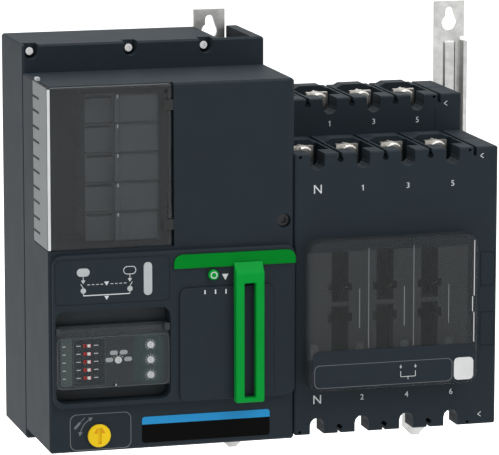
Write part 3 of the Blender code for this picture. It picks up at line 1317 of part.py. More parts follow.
def mode_slider():
    back = PLATEAU_FRONT - GAP
    outline = rounded(SLIDER_LEFT, SLIDER_RIGHT, SLIDER_BOTTOM, SLIDER_TOP, SLIDER_RADIUS)
    plate = extruded("mode_slider", "Y", (SLIDER_FRONT, back), [outline])
    bevel(plate, SLIDER_THICKNESS / 3, angle=60)
    tongue = block(
        "slider_tongue",
        (TONGUE_LEFT, TONGUE_LEFT + TONGUE_LENGTH),
        (SLIDER_FRONT + SLIDER_THICKNESS / 2, PLATEAU_FRONT + TONGUE_REACH),
        (TONGUE_Z - TONGUE_HEIGHT / 2, TONGUE_Z + TONGUE_HEIGHT / 2),
    )
    place(fuse(plate, tongue), "dark")
    base = SLIDER_FRONT - GAP
    tip = base - HANDLE_RISE
    outside = rectangle(HANDLE_LEFT, HANDLE_RIGHT, HANDLE_BOTTOM, HANDLE_TOP)
    opening = rectangle(
        HANDLE_LEFT + HANDLE_SIDE,
        HANDLE_RIGHT - HANDLE_SIDE,
        HANDLE_BOTTOM + HANDLE_FOOT,
        HANDLE_TOP - HANDLE_HEAD,
    )
    handle = extruded("mode_handle", "Y", (tip, base), [outside, opening])
    slope = [
        (tip - BOOLEAN_OVERRUN, HANDLE_TOP - HANDLE_SLOPE - BOOLEAN_OVERRUN),
        (tip + HANDLE_SLOPE + BOOLEAN_OVERRUN, HANDLE_TOP + BOOLEAN_OVERRUN),
        (tip - BOOLEAN_OVERRUN, HANDLE_TOP + BOOLEAN_OVERRUN),
    ]
    overrun_x = (HANDLE_LEFT - BOOLEAN_OVERRUN, HANDLE_RIGHT + BOOLEAN_OVERRUN)
    cut(handle, extruded("handle_slope", "X", overrun_x, [slope]))
    place(bevel(handle, 0.8 * MM), "green")


# Settings unit

def dip_heights():
    return [DIP_TOP_Z - DIP_PITCH * index for index in range(DIP_COUNT)]


def dial_places():
    places = [("mode_dial", MODE_DIAL_X, MODE_DIAL_Z)]
    for index in range(DIAL_COUNT):
        places.append((f"setting_dial_{index + 1}", DIAL_X, DIAL_TOP_Z - DIAL_PITCH * index))
    return places


def settings_unit():
    back = RECESS_FLOOR - GAP
    profile = [
        (back, UNIT_BOTTOM),
        (UNIT_FRONT, UNIT_BOTTOM),
        (UNIT_FRONT, UNIT_TOP - UNIT_SLOPE),
        (UNIT_FRONT + UNIT_SLOPE, UNIT_TOP),
        (back, UNIT_TOP),
    ]
    unit = extruded("settings_body", "X", (UNIT_LEFT, UNIT_RIGHT), [profile])
    lug_z = (UNIT_TOP - LUG_HEIGHT, UNIT_TOP)
    lug_y = (LUG_FRONT, UNIT_FRONT + UNIT_SLOPE)
    for name, lug_x in (
        ("left_lug", (UNIT_LEFT, UNIT_LEFT + LUG_WIDTH)),
        ("right_lug", (UNIT_RIGHT - LUG_WIDTH, UNIT_RIGHT)),
    ):
        fuse(unit, block(name, lug_x, lug_y, lug_z))
    axis = (FLAP_AXIS_Y, FLAP_AXIS_Z)
    pin_hole_left = (UNIT_LEFT - BOOLEAN_OVERRUN, UNIT_LEFT + LUG_WIDTH + BOOLEAN_OVERRUN)
    pin_hole_right = (UNIT_RIGHT - LUG_WIDTH - BOOLEAN_OVERRUN, UNIT_RIGHT + BOOLEAN_OVERRUN)
    for name, span in (("left_pin_hole", pin_hole_left), ("right_pin_hole", pin_hole_right)):
        cut(unit, rod(name, "X", span, axis, FLAP_PIN_RADIUS + GAP, 8))
    dip_middle = sum(dip_heights()) / DIP_COUNT
    dip_x = (DIP_X - DIP_BANK_WIDTH / 2, DIP_X + DIP_BANK_WIDTH / 2)
    dip_z = (dip_middle - DIP_BANK_HEIGHT / 2, dip_middle + DIP_BANK_HEIGHT / 2)
    dip_y = (UNIT_FRONT - GAP, UNIT_FRONT + DIP_BANK_DEPTH)
    pocket = block(
        "dip_pocket",
        (dip_x[0] - GAP, dip_x[1] + GAP),
        (UNIT_FRONT - BOOLEAN_OVERRUN, dip_y[1] + GAP),
        (dip_z[0] - GAP, dip_z[1] + GAP),
    )
    cut(unit, pocket)
    for name, x, z in dial_places():
        seat_span = (UNIT_FRONT - BOOLEAN_OVERRUN, UNIT_FRONT + DIAL_SEAT + GAP)
        cut(unit, rod(name + "_seat", "Y", seat_span, (x, z), DIAL_RADIUS + GAP, 16))
    place(unit, "grey")

    bank = block("dip_switch_bank", dip_x, dip_y, dip_z)
    knob_right = DIP_X + DIP_KNOB_OFFSET + DIP_KNOB / 2
    knob_x = (knob_right - DIP_KNOB, knob_right)
    for number, z in enumerate(dip_heights(), start=1):
        knob_z = (z - DIP_KNOB / 2, z + DIP_KNOB / 2)
        slot = block(
            f"dip_slot_{number}",
            (knob_x[0] - DIP_TRAVEL - GAP, knob_x[1] + GAP),
            (dip_y[0] - BOOLEAN_OVERRUN, dip_y[0] + DIP_SLOT_DEPTH + GAP),
            (knob_z[0] - GAP, knob_z[1] + GAP),
        )
        cut(bank, slot)
        knob_y = (dip_y[0] - DIP_KNOB_RISE, dip_y[0] + DIP_SLOT_DEPTH)
        place(block(f"dip_slider_{number}", knob_x, knob_y, knob_z), "white")
    place(bank, "red")

    for name, x, z in dial_places():
        span = (UNIT_FRONT - DIAL_RISE, UNIT_FRONT + DIAL_SEAT)
        dial = rod(name, "Y", span, (x, z), DIAL_RADIUS, 16)
        slot = block(
            name + "_slot",
            (x - DIAL_SLOT / 2, x + DIAL_SLOT / 2),
            (span[0] - BOOLEAN_OVERRUN, span[0] + DIAL_RISE / 2),
            (z - DIAL_RADIUS * DIAL_SLOT_SHARE, z + DIAL_RADIUS * DIAL_SLOT_SHARE),
        )
        place(cut(dial, slot), "white")

    inner_x = (UNIT_LEFT + LUG_WIDTH + GAP, UNIT_RIGHT - LUG_WIDTH - GAP)
    flap_y = (FLAP_BACK - FLAP_THICKNESS, FLAP_BACK)
    flap_top = UNIT_TOP - LUG_HEIGHT - FLAP_CLEARANCE
    flap = block("settings_flap", (UNIT_LEFT, UNIT_RIGHT), flap_y, (UNIT_BOTTOM, flap_top))
    bevel(flap, FLAP_THICKNESS / 3)
    tab = block("flap_tab", inner_x, flap_y, (flap_top - FLAP_THICKNESS, FLAP_AXIS_Z))
    barrel = rod("flap_barrel", "X", inner_x, axis, FLAP_BARREL_RADIUS, 10)
    pin = rod("flap_pin", "X", (UNIT_LEFT + GAP, UNIT_RIGHT - GAP), axis, FLAP_PIN_RADIUS, 8)
    set_origin(flap, (UNIT_LEFT, *axis))
    place(fuse(flap, tab, barrel, pin), "clear")


def test_selector():
    at = (SELECTOR_X, SELECTOR_Z)
    base = FRONT_PLANE - GAP
    knob = rod("test_selector", "Y", (base - SELECTOR_RISE, base), at, SELECTOR_RADIUS, 24)
    bevel(knob, SELECTOR_RISE / 4)
    shaft_span = (base - SELECTOR_RISE / 2, base + SELECTOR_SHAFT_LENGTH)
    shaft = rod("selector_shaft", "Y", shaft_span, at, SELECTOR_SHAFT_RADIUS, 12)
    reach = SELECTOR_RADIUS * SELECTOR_GRIP_SHARE
    grip = block(
        "selector_grip",
        (SELECTOR_X - SELECTOR_GRIP_WIDTH / 2, SELECTOR_X + SELECTOR_GRIP_WIDTH / 2),
        (base - SELECTOR_RISE - BOOLEAN_OVERRUN, base - SELECTOR_RISE + SELECTOR_GRIP_DEPTH),
        (SELECTOR_Z - reach, SELECTOR_Z + reach),
    )
    place(cut(fuse(knob, shaft), grip), "yellow")


# Electronics

def control_board():
    """A board on four pillars, with its larger components."""
    wall = BODY_BACK - MODULE_BACK_WALL - GAP
    y = (wall - BOARD_STANDOFF - BOARD_THICKNESS, wall - BOARD_STANDOFF)
    board = block("control_board", (BOARD_LEFT, BOARD_RIGHT), y, (BOARD_BOTTOM, BOARD_TOP))
    corners = [
        (x, z)
        for x in (BOARD_LEFT + STANDOFF_INSET, BOARD_RIGHT - STANDOFF_INSET)
        for z in (BOARD_BOTTOM + STANDOFF_INSET, BOARD_TOP - STANDOFF_INSET)
    ]
    sunk = BOARD_THICKNESS / 2
    for number, at in enumerate(corners):
        fuse(board, rod(f"board_pillar_{number}", "Y", (y[1] - sunk, wall), at, STANDOFF_RADIUS, 8))
    width, height, depth = RELAY_SIZE
    middle_x = (BOARD_LEFT + BOARD_RIGHT) / 2
    for number in range(3):
        low = BOARD_BOTTOM + STANDOFF_INSET + number * 1.5 * height
        relay_x = (middle_x, middle_x + width)
        relay = block(f"relay_{number}", relay_x, (y[0] - depth, y[0] + sunk), (low, low + height))
        fuse(board, relay)
    for number in range(2):
        at = (BOARD_LEFT + 4 * STANDOFF_INSET, BOARD_TOP - (2 + 3 * number) * STANDOFF_INSET)
        can_span = (y[0] - CAPACITOR_HEIGHT, y[0] + sunk)
        can = rod(f"capacitor_{number}", "Y", can_span, at, CAPACITOR_RADIUS, 12)
        fuse(board, can)
    place(board, "board")


def transformer():
    """A laminated core with two windows, and the winding on its middle leg."""
    left = TRANSFORMER_X - TRANSFORMER_WIDTH / 2
    right = TRANSFORMER_X + TRANSFORMER_WIDTH / 2
    bottom = TRANSFORMER_Z - TRANSFORMER_HEIGHT / 2
    top = TRANSFORMER_Z + TRANSFORMER_HEIGHT / 2
    wall = BODY_BACK - MODULE_BACK_WALL - GAP
    middle = wall - COIL_DEPTH / 2
    leg = TRANSFORMER_LEG
    window = TRANSFORMER_WINDOW
    outline = rectangle(left, right, bottom, top)
    windows = [
        rectangle(left + leg, left + leg + window, bottom + leg, top - leg),
        rectangle(right - leg - window, right - leg, bottom + leg, top - leg),
    ]
    core_y = (middle - TRANSFORMER_DEPTH / 2, middle + TRANSFORMER_DEPTH / 2)
    core = extruded("supply_transformer", "Y", core_y, [outline, *windows])
    coil_z = (bottom + leg + GAP, top - leg - GAP)
    coil = block(
        "transformer_coil",
        (left + leg + GAP, right - leg - GAP),
        (wall - COIL_DEPTH, wall),
        coil_z,
    )
    place(fuse(core, bevel(coil, COIL_BEVEL)), "steel")


left_strip()
right_strip()
rear_housing()
ledge_screws()
front_cover()
front_screw()
function_modules()
module_cover()
plateau_trim()
open_button()
mode_slider()
settings_unit()
test_selector()
control_board()
transformer()
gear_plate()
drive_motor()
gear_train()
switch_cases()
window_cover()
line_terminals("line_terminal_1", AXIS_1_Y, SWITCH_1_TOP)
line_terminals("line_terminal_2", AXIS_2_Y, SWITCH_2_TOP)
load_bars()
rotor("contact_rotor_1", AXIS_1_Y, 0)
rotor("contact_rotor_2", AXIS_2_Y, 1)
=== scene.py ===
"""Looks of the automatic transfer switch: finishes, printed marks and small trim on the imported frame."""
import json
from math import atan2, cos, degrees, pi, radians, sin

import bmesh
import bpy
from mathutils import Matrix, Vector


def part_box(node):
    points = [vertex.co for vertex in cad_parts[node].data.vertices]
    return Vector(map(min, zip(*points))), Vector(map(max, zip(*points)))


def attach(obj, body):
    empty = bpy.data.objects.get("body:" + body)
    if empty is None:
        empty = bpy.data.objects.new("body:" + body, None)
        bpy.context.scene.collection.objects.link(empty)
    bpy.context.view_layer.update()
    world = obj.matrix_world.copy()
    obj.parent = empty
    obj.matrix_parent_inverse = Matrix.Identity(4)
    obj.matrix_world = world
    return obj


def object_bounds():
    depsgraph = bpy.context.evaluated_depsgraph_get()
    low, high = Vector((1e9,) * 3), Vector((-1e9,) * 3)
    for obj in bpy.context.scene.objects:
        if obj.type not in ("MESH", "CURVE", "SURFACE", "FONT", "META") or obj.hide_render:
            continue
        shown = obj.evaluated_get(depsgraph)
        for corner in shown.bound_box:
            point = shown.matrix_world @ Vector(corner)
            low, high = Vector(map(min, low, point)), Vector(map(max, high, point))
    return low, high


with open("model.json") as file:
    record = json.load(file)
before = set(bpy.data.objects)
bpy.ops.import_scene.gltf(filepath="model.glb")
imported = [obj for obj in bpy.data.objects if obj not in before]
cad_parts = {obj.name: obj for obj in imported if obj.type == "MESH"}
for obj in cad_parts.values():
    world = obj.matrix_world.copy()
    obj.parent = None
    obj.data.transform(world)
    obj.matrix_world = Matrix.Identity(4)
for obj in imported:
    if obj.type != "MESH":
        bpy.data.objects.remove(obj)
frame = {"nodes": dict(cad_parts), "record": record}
cad_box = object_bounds()
nodes = frame["nodes"]

MM = 0.001
HOUSING = "housing"

# Surfaces that carry the printed marks
PLATEAU_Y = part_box("front_cover")[0][1]
FRONT_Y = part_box("module_cover")[0][1]
CASE_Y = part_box("switch_1_front_case")[0][1]
REAR_CASE_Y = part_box("switch_2_front_case")[0][1]
WINDOW_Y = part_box("window_cover")[0][1]
SLIDER_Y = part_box("mode_slider")[0][1]
BANK_RISE = 0.3 * MM
UNIT_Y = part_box("dip_switch_bank")[0][1] + BANK_RISE
SELECTOR_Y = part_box("test_selector")[0][1]
BUTTON_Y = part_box("open_button")[0][1]

# Middles of the poles, and of the barriers between them
SWITCH_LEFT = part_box("switch_1_front_case")[0][0]
POLES = 4
POLE_PITCH = 35 * MM
POLE_X = [SWITCH_LEFT + POLE_PITCH * (pole + 0.5) for pole in range(POLES)]
BARRIER_X = [SWITCH_LEFT + POLE_PITCH * number for number in range(1, POLES)]

# How far a print stands out, and how far each piece reaches into its surface
PRINT = 0.12 * MM
SUNK = 0.05 * MM


# Materials

GRAIN_DETAIL = 4
PATCH_DETAIL = 3
PATCH_ENDS = (0.3, 0.7)
ROUGHNESS_PLAY = 0.06
MOULD_GRAIN_SCALE = 2600
MOULD_GRAIN_DEPTH = 0.00008
MOULD_PATCH_SCALE = 45
METAL_GRAIN_SCALE = 900
METAL_GRAIN_STRENGTH = 0.1
METAL_GRAIN_DEPTH = 0.00005
CLEAR_SHINE = 0.3
CLEAR_SPREAD = 0.05
CLEAR_PATCH_SCALE = 30
CLEAR_PLAY = 0.04


def graph(name):
    material = bpy.data.materials.new(name)
    material.use_nodes = True
    tree = material.node_tree
    return material, tree, tree.nodes["Principled BSDF"]


def grain(tree, shader, scale, strength, distance):
    """Fine bump from noise in object space."""
    place = tree.nodes.new("ShaderNodeTexCoord")
    noise = tree.nodes.new("ShaderNodeTexNoise")
    noise.inputs["Scale"].default_value = scale
    noise.inputs["Detail"].default_value = GRAIN_DETAIL
    tree.links.new(place.outputs["Object"], noise.inputs["Vector"])
    bump = tree.nodes.new("ShaderNodeBump")
    bump.inputs["Strength"].default_value = strength
    bump.inputs["Distance"].default_value = distance
    tree.links.new(noise.outputs["Fac"], bump.inputs["Height"])
    tree.links.new(bump.outputs["Normal"], shader.inputs["Normal"])
    return place


def vary(tree, shader, place, colour, spread, scale, roughness, play=ROUGHNESS_PLAY):
    """Slow variation of colour and roughness over the surface."""
    noise = tree.nodes.new("ShaderNodeTexNoise")
    noise.inputs["Scale"].default_value = scale
    noise.inputs["Detail"].default_value = PATCH_DETAIL
    tree.links.new(place.outputs["Object"], noise.inputs["Vector"])
    ramp = tree.nodes.new("ShaderNodeValToRGB")
    for end, place_on_ramp, share in zip((0, 1), PATCH_ENDS, (1 - spread, 1 + spread)):
        element = ramp.color_ramp.elements[end]
        element.position = place_on_ramp
        element.color = (*[channel * share for channel in colour], 1)
    tree.links.new(noise.outputs["Fac"], ramp.inputs["Fac"])
    tree.links.new(ramp.outputs["Color"], shader.inputs["Base Color"])
    rough = tree.nodes.new("ShaderNodeMapRange")
    rough.inputs["To Min"].default_value = roughness - play
    rough.inputs["To Max"].default_value = roughness + play
    tree.links.new(noise.outputs["Fac"], rough.inputs["Value"])
    tree.links.new(rough.outputs["Result"], shader.inputs["Roughness"])


def moulding(name, colour, roughness=0.6, spread=0.06, grain_strength=0.12, shine=0.12):
    material, tree, shader = graph(name)
    shader.inputs["Specular IOR Level"].default_value = shine
    place = grain(tree, shader, MOULD_GRAIN_SCALE, grain_strength, MOULD_GRAIN_DEPTH)
    vary(tree, shader, place, colour, spread, MOULD_PATCH_SCALE, roughness)
    return material


def metal(name, colour, roughness, spread, scale):
    material, tree, shader = graph(name)
    shader.inputs["Metallic"].default_value = 1.0
    place = grain(tree, shader, METAL_GRAIN_SCALE, METAL_GRAIN_STRENGTH, METAL_GRAIN_DEPTH)
    vary(tree, shader, place, colour, spread, scale, roughness)
    return material


def clear(name, colour, roughness, alpha):
    """Thin clear plastic: each of a wall's two faces hides a little of what is behind it."""
    material, tree, shader = graph(name)
    shader.inputs["Alpha"].default_value = alpha
    shader.inputs["Specular IOR Level"].default_value = CLEAR_SHINE
    place = tree.nodes.new("ShaderNodeTexCoord")
    vary(tree, shader, place, colour, CLEAR_SPREAD, CLEAR_PATCH_SCALE, roughness, play=CLEAR_PLAY)
    return material


def printed(name, colour):
    return moulding(name, colour, roughness=0.5, spread=0.04, grain_strength=0.04, shine=0.1)


DARK = moulding("dark_moulding", (0.0135, 0.0205, 0.0265))
DARK_PANEL = moulding("dark_panel", (0.0125, 0.019, 0.026), roughness=0.55)
UNIT_DARK = moulding("unit_dark", (0.036, 0.042, 0.047), roughness=0.5)
INNER_DARK = moulding("inner_dark", (0.006, 0.008, 0.010), roughness=0.6)
CLEAR = clear("clear_cover", (0.078, 0.083, 0.086), roughness=0.3, alpha=0.25)
CLEAR_WINDOW = clear("clear_window", (0.045, 0.048, 0.050), roughness=0.3, alpha=0.25)
CLEAR_FLAP = clear("clear_flap", (0.062, 0.066, 0.069), roughness=0.3, alpha=0.1)
# Light grey that paints the sheen of the clear cover's side, which is seen at a grazing angle
PAINTED_SIDE_SHEEN = moulding("painted_side_sheen", (0.21, 0.225, 0.23), roughness=0.5, grain_strength=0.05)
POLE_FACE = moulding("pole_face", (0.055, 0.062, 0.066), roughness=0.6)
FOOT_GREY = moulding("foot_grey", (0.12, 0.13, 0.135), roughness=0.5)
HINGE_GREY = moulding("hinge_grey", (0.030, 0.031, 0.031), roughness=0.5)
SLOT_FLOOR = moulding("slot_floor", (0.010, 0.0095, 0.0095), roughness=0.7)
BLACKENED = metal("blackened_steel", (0.03, 0.03, 0.032), roughness=0.45, spread=0.1, scale=120)
GREEN = moulding("green_moulding", (0.001, 0.28, 0.035), roughness=0.38, grain_strength=0.06, shine=0.06)
BAND_GREEN = moulding("band_green", (0.0, 0.20, 0.018), roughness=0.4, grain_strength=0.06, shine=0.04)
YELLOW = moulding("yellow_moulding", (0.82, 0.56, 0.010), roughness=0.4, grain_strength=0.05)
ORANGE = printed("orange_print", (0.68, 0.29, 0.01))
WHITE = moulding("white_moulding", (0.68, 0.69, 0.69), roughness=0.45, grain_strength=0.04)
RED = moulding("red_moulding", (0.86, 0.05, 0.045), roughness=0.45)
WHITE_KNOB = moulding("white_knob", (0.88, 0.89, 0.89), roughness=0.45, grain_strength=0.04)
GREY = moulding("grey_moulding", (0.075, 0.087, 0.098), roughness=0.5)
LIGHT_GREY = moulding("light_grey", (0.44, 0.47, 0.48), roughness=0.35)
BLUE = printed("blue_print", (0.022, 0.26, 0.56))
BLACK = moulding("black_print", (0.002, 0.002, 0.002), roughness=0.5, grain_strength=0.04, shine=0.03)
WHITE_PRINT = printed("white_print", (0.62, 0.64, 0.66))
GREY_PRINT = printed("grey_print", (0.16, 0.17, 0.18))
LABEL_GREY = printed("label_grey", (0.075, 0.10, 0.095))
DIAL_FIELD = printed("dial_field", (0.038, 0.060, 0.060))
SWITCH_FIELD = printed("switch_field", (0.026, 0.032, 0.035))
# Light grey that paints highlights on edges: the modules' step edges and the module cover's left edge
PAINTED_HIGHLIGHT = moulding("painted_highlight", (0.62, 0.64, 0.65), roughness=0.25, grain_strength=0.02, shine=0.5)
ZINC = metal("galvanised_steel", (0.46, 0.46, 0.45), roughness=0.42, spread=0.16, scale=160)
TINNED = metal("tinned_copper", (0.62, 0.60, 0.56), roughness=0.33, spread=0.08, scale=90)
BRIGHT = metal("bright_steel", (0.72, 0.72, 0.72), roughness=0.28, spread=0.06, scale=120)
STEEL = metal("dark_steel", (0.24, 0.24, 0.25), roughness=0.36, spread=0.1, scale=120)
BOARD = moulding("circuit_board", (0.01, 0.11, 0.035), roughness=0.4)

SLOT_FINISH = {
    "dark_moulding": DARK,
    "clear_moulding": CLEAR,
    "green_moulding": GREEN,
    "yellow_moulding": YELLOW,
    "white_moulding": WHITE,
    "red_moulding": RED,
    "grey_moulding": GREY,
    "galvanised_steel": ZINC,
    "plated_copper": TINNED,
    "dark_steel": STEEL,
    "circuit_board": BOARD,
}
NODE_FINISH = {
    "green_band": BAND_GREEN,
    "mode_slider": DARK_PANEL,
    "settings_body": UNIT_DARK,
    "status_window": LIGHT_GREY,
    "settings_flap": CLEAR_FLAP,
    "window_cover": CLEAR_WINDOW,
    "module_cover_pin": BLACKENED,
    "front_screw": BLACKENED,
    "mode_dial": WHITE_KNOB,
}
REPEATED_FINISH = (
    ("ledge_screw", 3, BRIGHT),
    ("setting_dial", 3, WHITE_KNOB),
    ("dip_slider", 5, WHITE_KNOB),
)
for kind, count, finish in REPEATED_FINISH:
    for number in range(1, count + 1):
        NODE_FINISH[f"{kind}_{number}"] = finish


def dress(obj, material):
    obj.data.materials.clear()
    obj.data.materials.append(material)


for entry in frame["record"]["subparts"]:
    finish = NODE_FINISH.get(entry["node"], SLOT_FINISH[entry["material_slot"]])
    dress(nodes[entry["node"]], finish)


# Small pieces

BAR_CORNER_SHARE = 0.2
COARSE_STEPS = 2
DOT_SIDES = 10
THICK = 2 * PRINT
EDGE_SHARE = 0.25
EDGE_SEGMENTS = 2


def arc(centre, radius, start, end, steps):
    angles = [radians(start + (end - start) * step / steps) for step in range(steps + 1)]
    return [(centre[0] + radius * cos(a), centre[1] + radius * sin(a)) for a in angles]


def rounded(left, right, bottom, top, radius, steps=6):
    points = []
    for x, z, start in (
        (right - radius, top - radius, 0),
        (left + radius, top - radius, 90),
        (left + radius, bottom + radius, 180),
        (right - radius, bottom + radius, 270),
    ):
        points += arc((x, z), radius, start, start + 90, steps)
    return points


def disc(x, z, radius, sides=28):
    return arc((x, z), radius, 0, 360, sides)[:-1]


def lozenge(x, z, width, height, radius):
    return rounded(x - width / 2, x + width / 2, z - height / 2, z + height / 2, radius)


def inset(points, centre, distance):
    """An outline moved towards its centre by about a distance, for a line of that width."""
    xs = [p[0] for p in points]
    zs = [p[1] for p in points]
    across = (max(xs) - min(xs)) / 2
    up = (max(zs) - min(zs)) / 2
    shrink_x = 1 - distance / across
    shrink_z = 1 - distance / up
    return [
        (centre[0] + (x - centre[0]) * shrink_x, centre[1] + (z - centre[1]) * shrink_z)
        for x, z in points
    ]


def finish_piece(obj, material, body):
    dress(obj, material)
    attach(obj, body)
    return obj


def flat(
    name, outline, surface, material,
    body=HOUSING, rise=PRINT, inner=None, slot="dark_moulding", side=False,
):
    """A thin raised shape on a surface that faces the front, or the left side.

    An inner outline makes it a closed line.
    """
    def at(depth, points):
        if side:
            return [bm.verts.new((surface + depth, y, z)) for y, z in points]
        return [bm.verts.new((x, surface + depth, z)) for x, z in points]

    bm = bmesh.new()
    back = at(SUNK, outline)
    front = at(-rise, outline)
    count = len(outline)
    for i in range(count):
        j = (i + 1) % count
        bm.faces.new((back[i], back[j], front[j], front[i]))
    if inner is None:
        bm.faces.new(front)
        bm.faces.new(list(reversed(back)))
    else:
        inner_back = at(SUNK, inner)
        inner_front = at(-rise, inner)
        for i in range(count):
            j = (i + 1) % count
            bm.faces.new((inner_back[j], inner_back[i], inner_front[i], inner_front[j]))
            bm.faces.new((front[i], front[j], inner_front[j], inner_front[i]))
            bm.faces.new((back[j], back[i], inner_back[i], inner_back[j]))
    bmesh.ops.recalc_face_normals(bm, faces=bm.faces)
    mesh = bpy.data.meshes.new(name)
    bm.to_mesh(mesh)
    bm.free()
    obj = bpy.data.objects.new(name, mesh)
    bpy.context.scene.collection.objects.link(obj)
    if rise > THICK:
        edge = obj.modifiers.new("edge", "BEVEL")
        edge.width = rise * EDGE_SHARE
        edge.segments = EDGE_SEGMENTS
        edge.limit_method = "ANGLE"
    return finish_piece(obj, material, body)


def line_frame(name, outline, surface_y, width, material, **more):
    xs = [p[0] for p in outline]
    zs = [p[1] for p in outline]
    centre = ((max(xs) + min(xs)) / 2, (max(zs) + min(zs)) / 2)
    return flat(name, outline, surface_y, material, inner=inset(outline, centre, width), **more)


def bar(name, left, right, bottom, top, surface_y, material, **more):
    corner = min(right - left, top - bottom) * BAR_CORNER_SHARE
    outline = rounded(left, right, bottom, top, corner, COARSE_STEPS)
    return flat(name, outline, surface_y, material, **more)


def mark(name, text, x, z, size, surface_y, material, body=HOUSING):
    """A printed figure on a surface that faces the front."""
    curve = bpy.data.curves.new(name, "FONT")
    curve.body = text
    curve.size = size
    curve.extrude = PRINT
    curve.align_x = "CENTER"
    curve.align_y = "CENTER"
    obj = bpy.data.objects.new(name, curve)
    obj.location = (x, surface_y, z)
    obj.rotation_euler = (pi / 2, 0, 0)
    bpy.context.scene.collection.objects.link(obj)
    return finish_piece(obj, material, body)


def triangle(name, x, z, half, height, surface_y, material, **more):
    """A small arrowhead that points down, with its top edge at z."""
    return flat(name, [(x - half, z), (x, z - height), (x + half, z)], surface_y, material, **more)


def turned(x, z, length, width, angle):
    """A thin bar's outline about a centre, turned by an angle in degrees."""
    along = (cos(radians(angle)) * length / 2, sin(radians(angle)) * length / 2)
    across = (-sin(radians(angle)) * width / 2, cos(radians(angle)) * width / 2)
    return [
        (x + u * along[0] + v * across[0], z + u * along[1] + v * across[1])
        for u, v in ((-1, -1), (1, -1), (1, 1), (-1, 1))
    ]


# The figure one, with a flag, as shares of its height, and a capital's height as a share of the text size
ONE = ((-0.06, -0.5), (0.09, -0.5), (0.09, 0.5), (-0.02, 0.5), (-0.24, 0.33), (-0.24, 0.18), (-0.06, 0.3))
CAPITAL = 0.7


def figure(name, text, x, z, size, surface_y):
    if text != "1":
        return mark(name, text, x, z, size, surface_y, WHITE_PRINT)
    height = size * CAPITAL
    return flat(name, [(x + u * height, z + v * height) for u, v in ONE], surface_y, WHITE_PRINT)


# Pole figures

LINE_1_Z = 45 * MM
LINE_2_Z = 80.5 * MM
LOAD_Z = -114 * MM
LETTER = 9.5 * MM
FIGURE = 6 * MM
for row, surface, height, figures in (
    ("line_1", CASE_Y, LINE_1_Z, "N135"),
    ("line_2", REAR_CASE_Y, LINE_2_Z, "N135"),
    ("load", CASE_Y, LOAD_Z, "N246"),
):
    for x, text in zip(POLE_X, figures):
        size = LETTER if text == "N" else FIGURE
        figure(f"figure_{row}_{text}", text, x, height, size, surface)

# Arrows at the auxiliary end of each switch, and the seam on the rear switch

END_X = 70.5 * MM
SEAM_X = 62 * MM
SEAM_FOOT = 12 * MM
SEAM_HEAD = 10 * MM
CHEVRON = 1.6 * MM
CHEVRON_ANGLE = 35
STROKE = 0.5 * MM
CHEVRON_ROWS = (
    ("line_1", CASE_Y, 65 * MM),
    ("line_2", REAR_CASE_Y, 92.5 * MM),
    ("load", CASE_Y, -132.7 * MM),
)
for name, surface, z in CHEVRON_ROWS:
    for side, lean in (("upper", 1), ("lower", -1)):
        outline = turned(END_X, z + lean * CHEVRON / 2, 2 * CHEVRON, STROKE, lean * CHEVRON_ANGLE)
        flat(f"end_arrow_{name}_{side}", outline, surface, WHITE_PRINT)
low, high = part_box("switch_2_front_case")
seam = (SEAM_X, SEAM_X + STROKE, low[2] + SEAM_FOOT, high[2] - SEAM_HEAD)
bar("end_seam", *seam, REAR_CASE_Y, INNER_DARK)

# Circuit diagram on the plateau: two sources, one load

DIAGRAM = (-257.4 * MM, -171.2 * MM, -31 * MM, 2.6 * MM)
DIAGRAM_RADIUS = 4 * MM
SOURCE_X = (-236.3 * MM, -201.4 * MM)
SOURCE_Z = -7.1 * MM
LAMP_Z = -20.7 * MM
MIDDLE_X = sum(SOURCE_X) / 2
BUS_Z = -16.4 * MM
JOIN_Z = -24 * MM
LINE = 0.45 * MM
JOIN_WIDTH = 1.5 * LINE
LAMP_SIZE = (9.6 * MM, 6 * MM, 2.9 * MM)
LAMP_RADIUS = 2 * MM
LAMP_RISE = 0.6 * MM
HEAD = 1.6 * MM
HEAD_LENGTH = 1.6 * HEAD
HEAD_TOP = -13 * MM
BLADE_REACH = 1 * MM
BLADE_LIFT = 3.6 * MM
BLADE_LENGTH = 3.4 * MM
BLADE_LEAN = 32
line_frame("diagram_outline", rounded(*DIAGRAM, DIAGRAM_RADIUS), PLATEAU_Y, LINE, INNER_DARK)
flat("source_lamp_1", lozenge(SOURCE_X[0], SOURCE_Z, *LAMP_SIZE), PLATEAU_Y, LIGHT_GREY, rise=LAMP_RISE)
line_frame("source_lamp_2", lozenge(SOURCE_X[1], SOURCE_Z, *LAMP_SIZE), PLATEAU_Y, LINE, WHITE_PRINT)
for number, (x, lean) in enumerate(zip(SOURCE_X, (-1, 1)), start=1):
    flat(f"switch_lamp_{number}", disc(x, LAMP_Z, LAMP_RADIUS), PLATEAU_Y, LIGHT_GREY, rise=LAMP_RISE)
    line = (x - LINE / 2, x + LINE / 2)
    lamp_foot = SOURCE_Z - LAMP_SIZE[1] / 2
    bar(f"source_line_{number}", *line, HEAD_TOP - HEAD, lamp_foot, PLATEAU_Y, WHITE_PRINT)
    triangle(f"source_head_{number}", x, HEAD_TOP, HEAD, HEAD_LENGTH, PLATEAU_Y, WHITE_PRINT)
    blade_at = (x + lean * BLADE_REACH, LAMP_Z + BLADE_LIFT)
    blade = turned(*blade_at, BLADE_LENGTH, LINE, 90 - lean * BLADE_LEAN)
    flat(f"switch_blade_{number}", blade, PLATEAU_Y, WHITE_PRINT)
    bar(f"join_drop_{number}", *line, JOIN_Z, LAMP_Z - LAMP_RADIUS, PLATEAU_Y, WHITE_PRINT)
bar("join_line", SOURCE_X[0], SOURCE_X[1], JOIN_Z - JOIN_WIDTH, JOIN_Z, PLATEAU_Y, WHITE_PRINT)
DASHES = 4
DASH_START = 3 * MM
DASH_PITCH = 3.3 * MM
DASH_LENGTH = 2 * MM
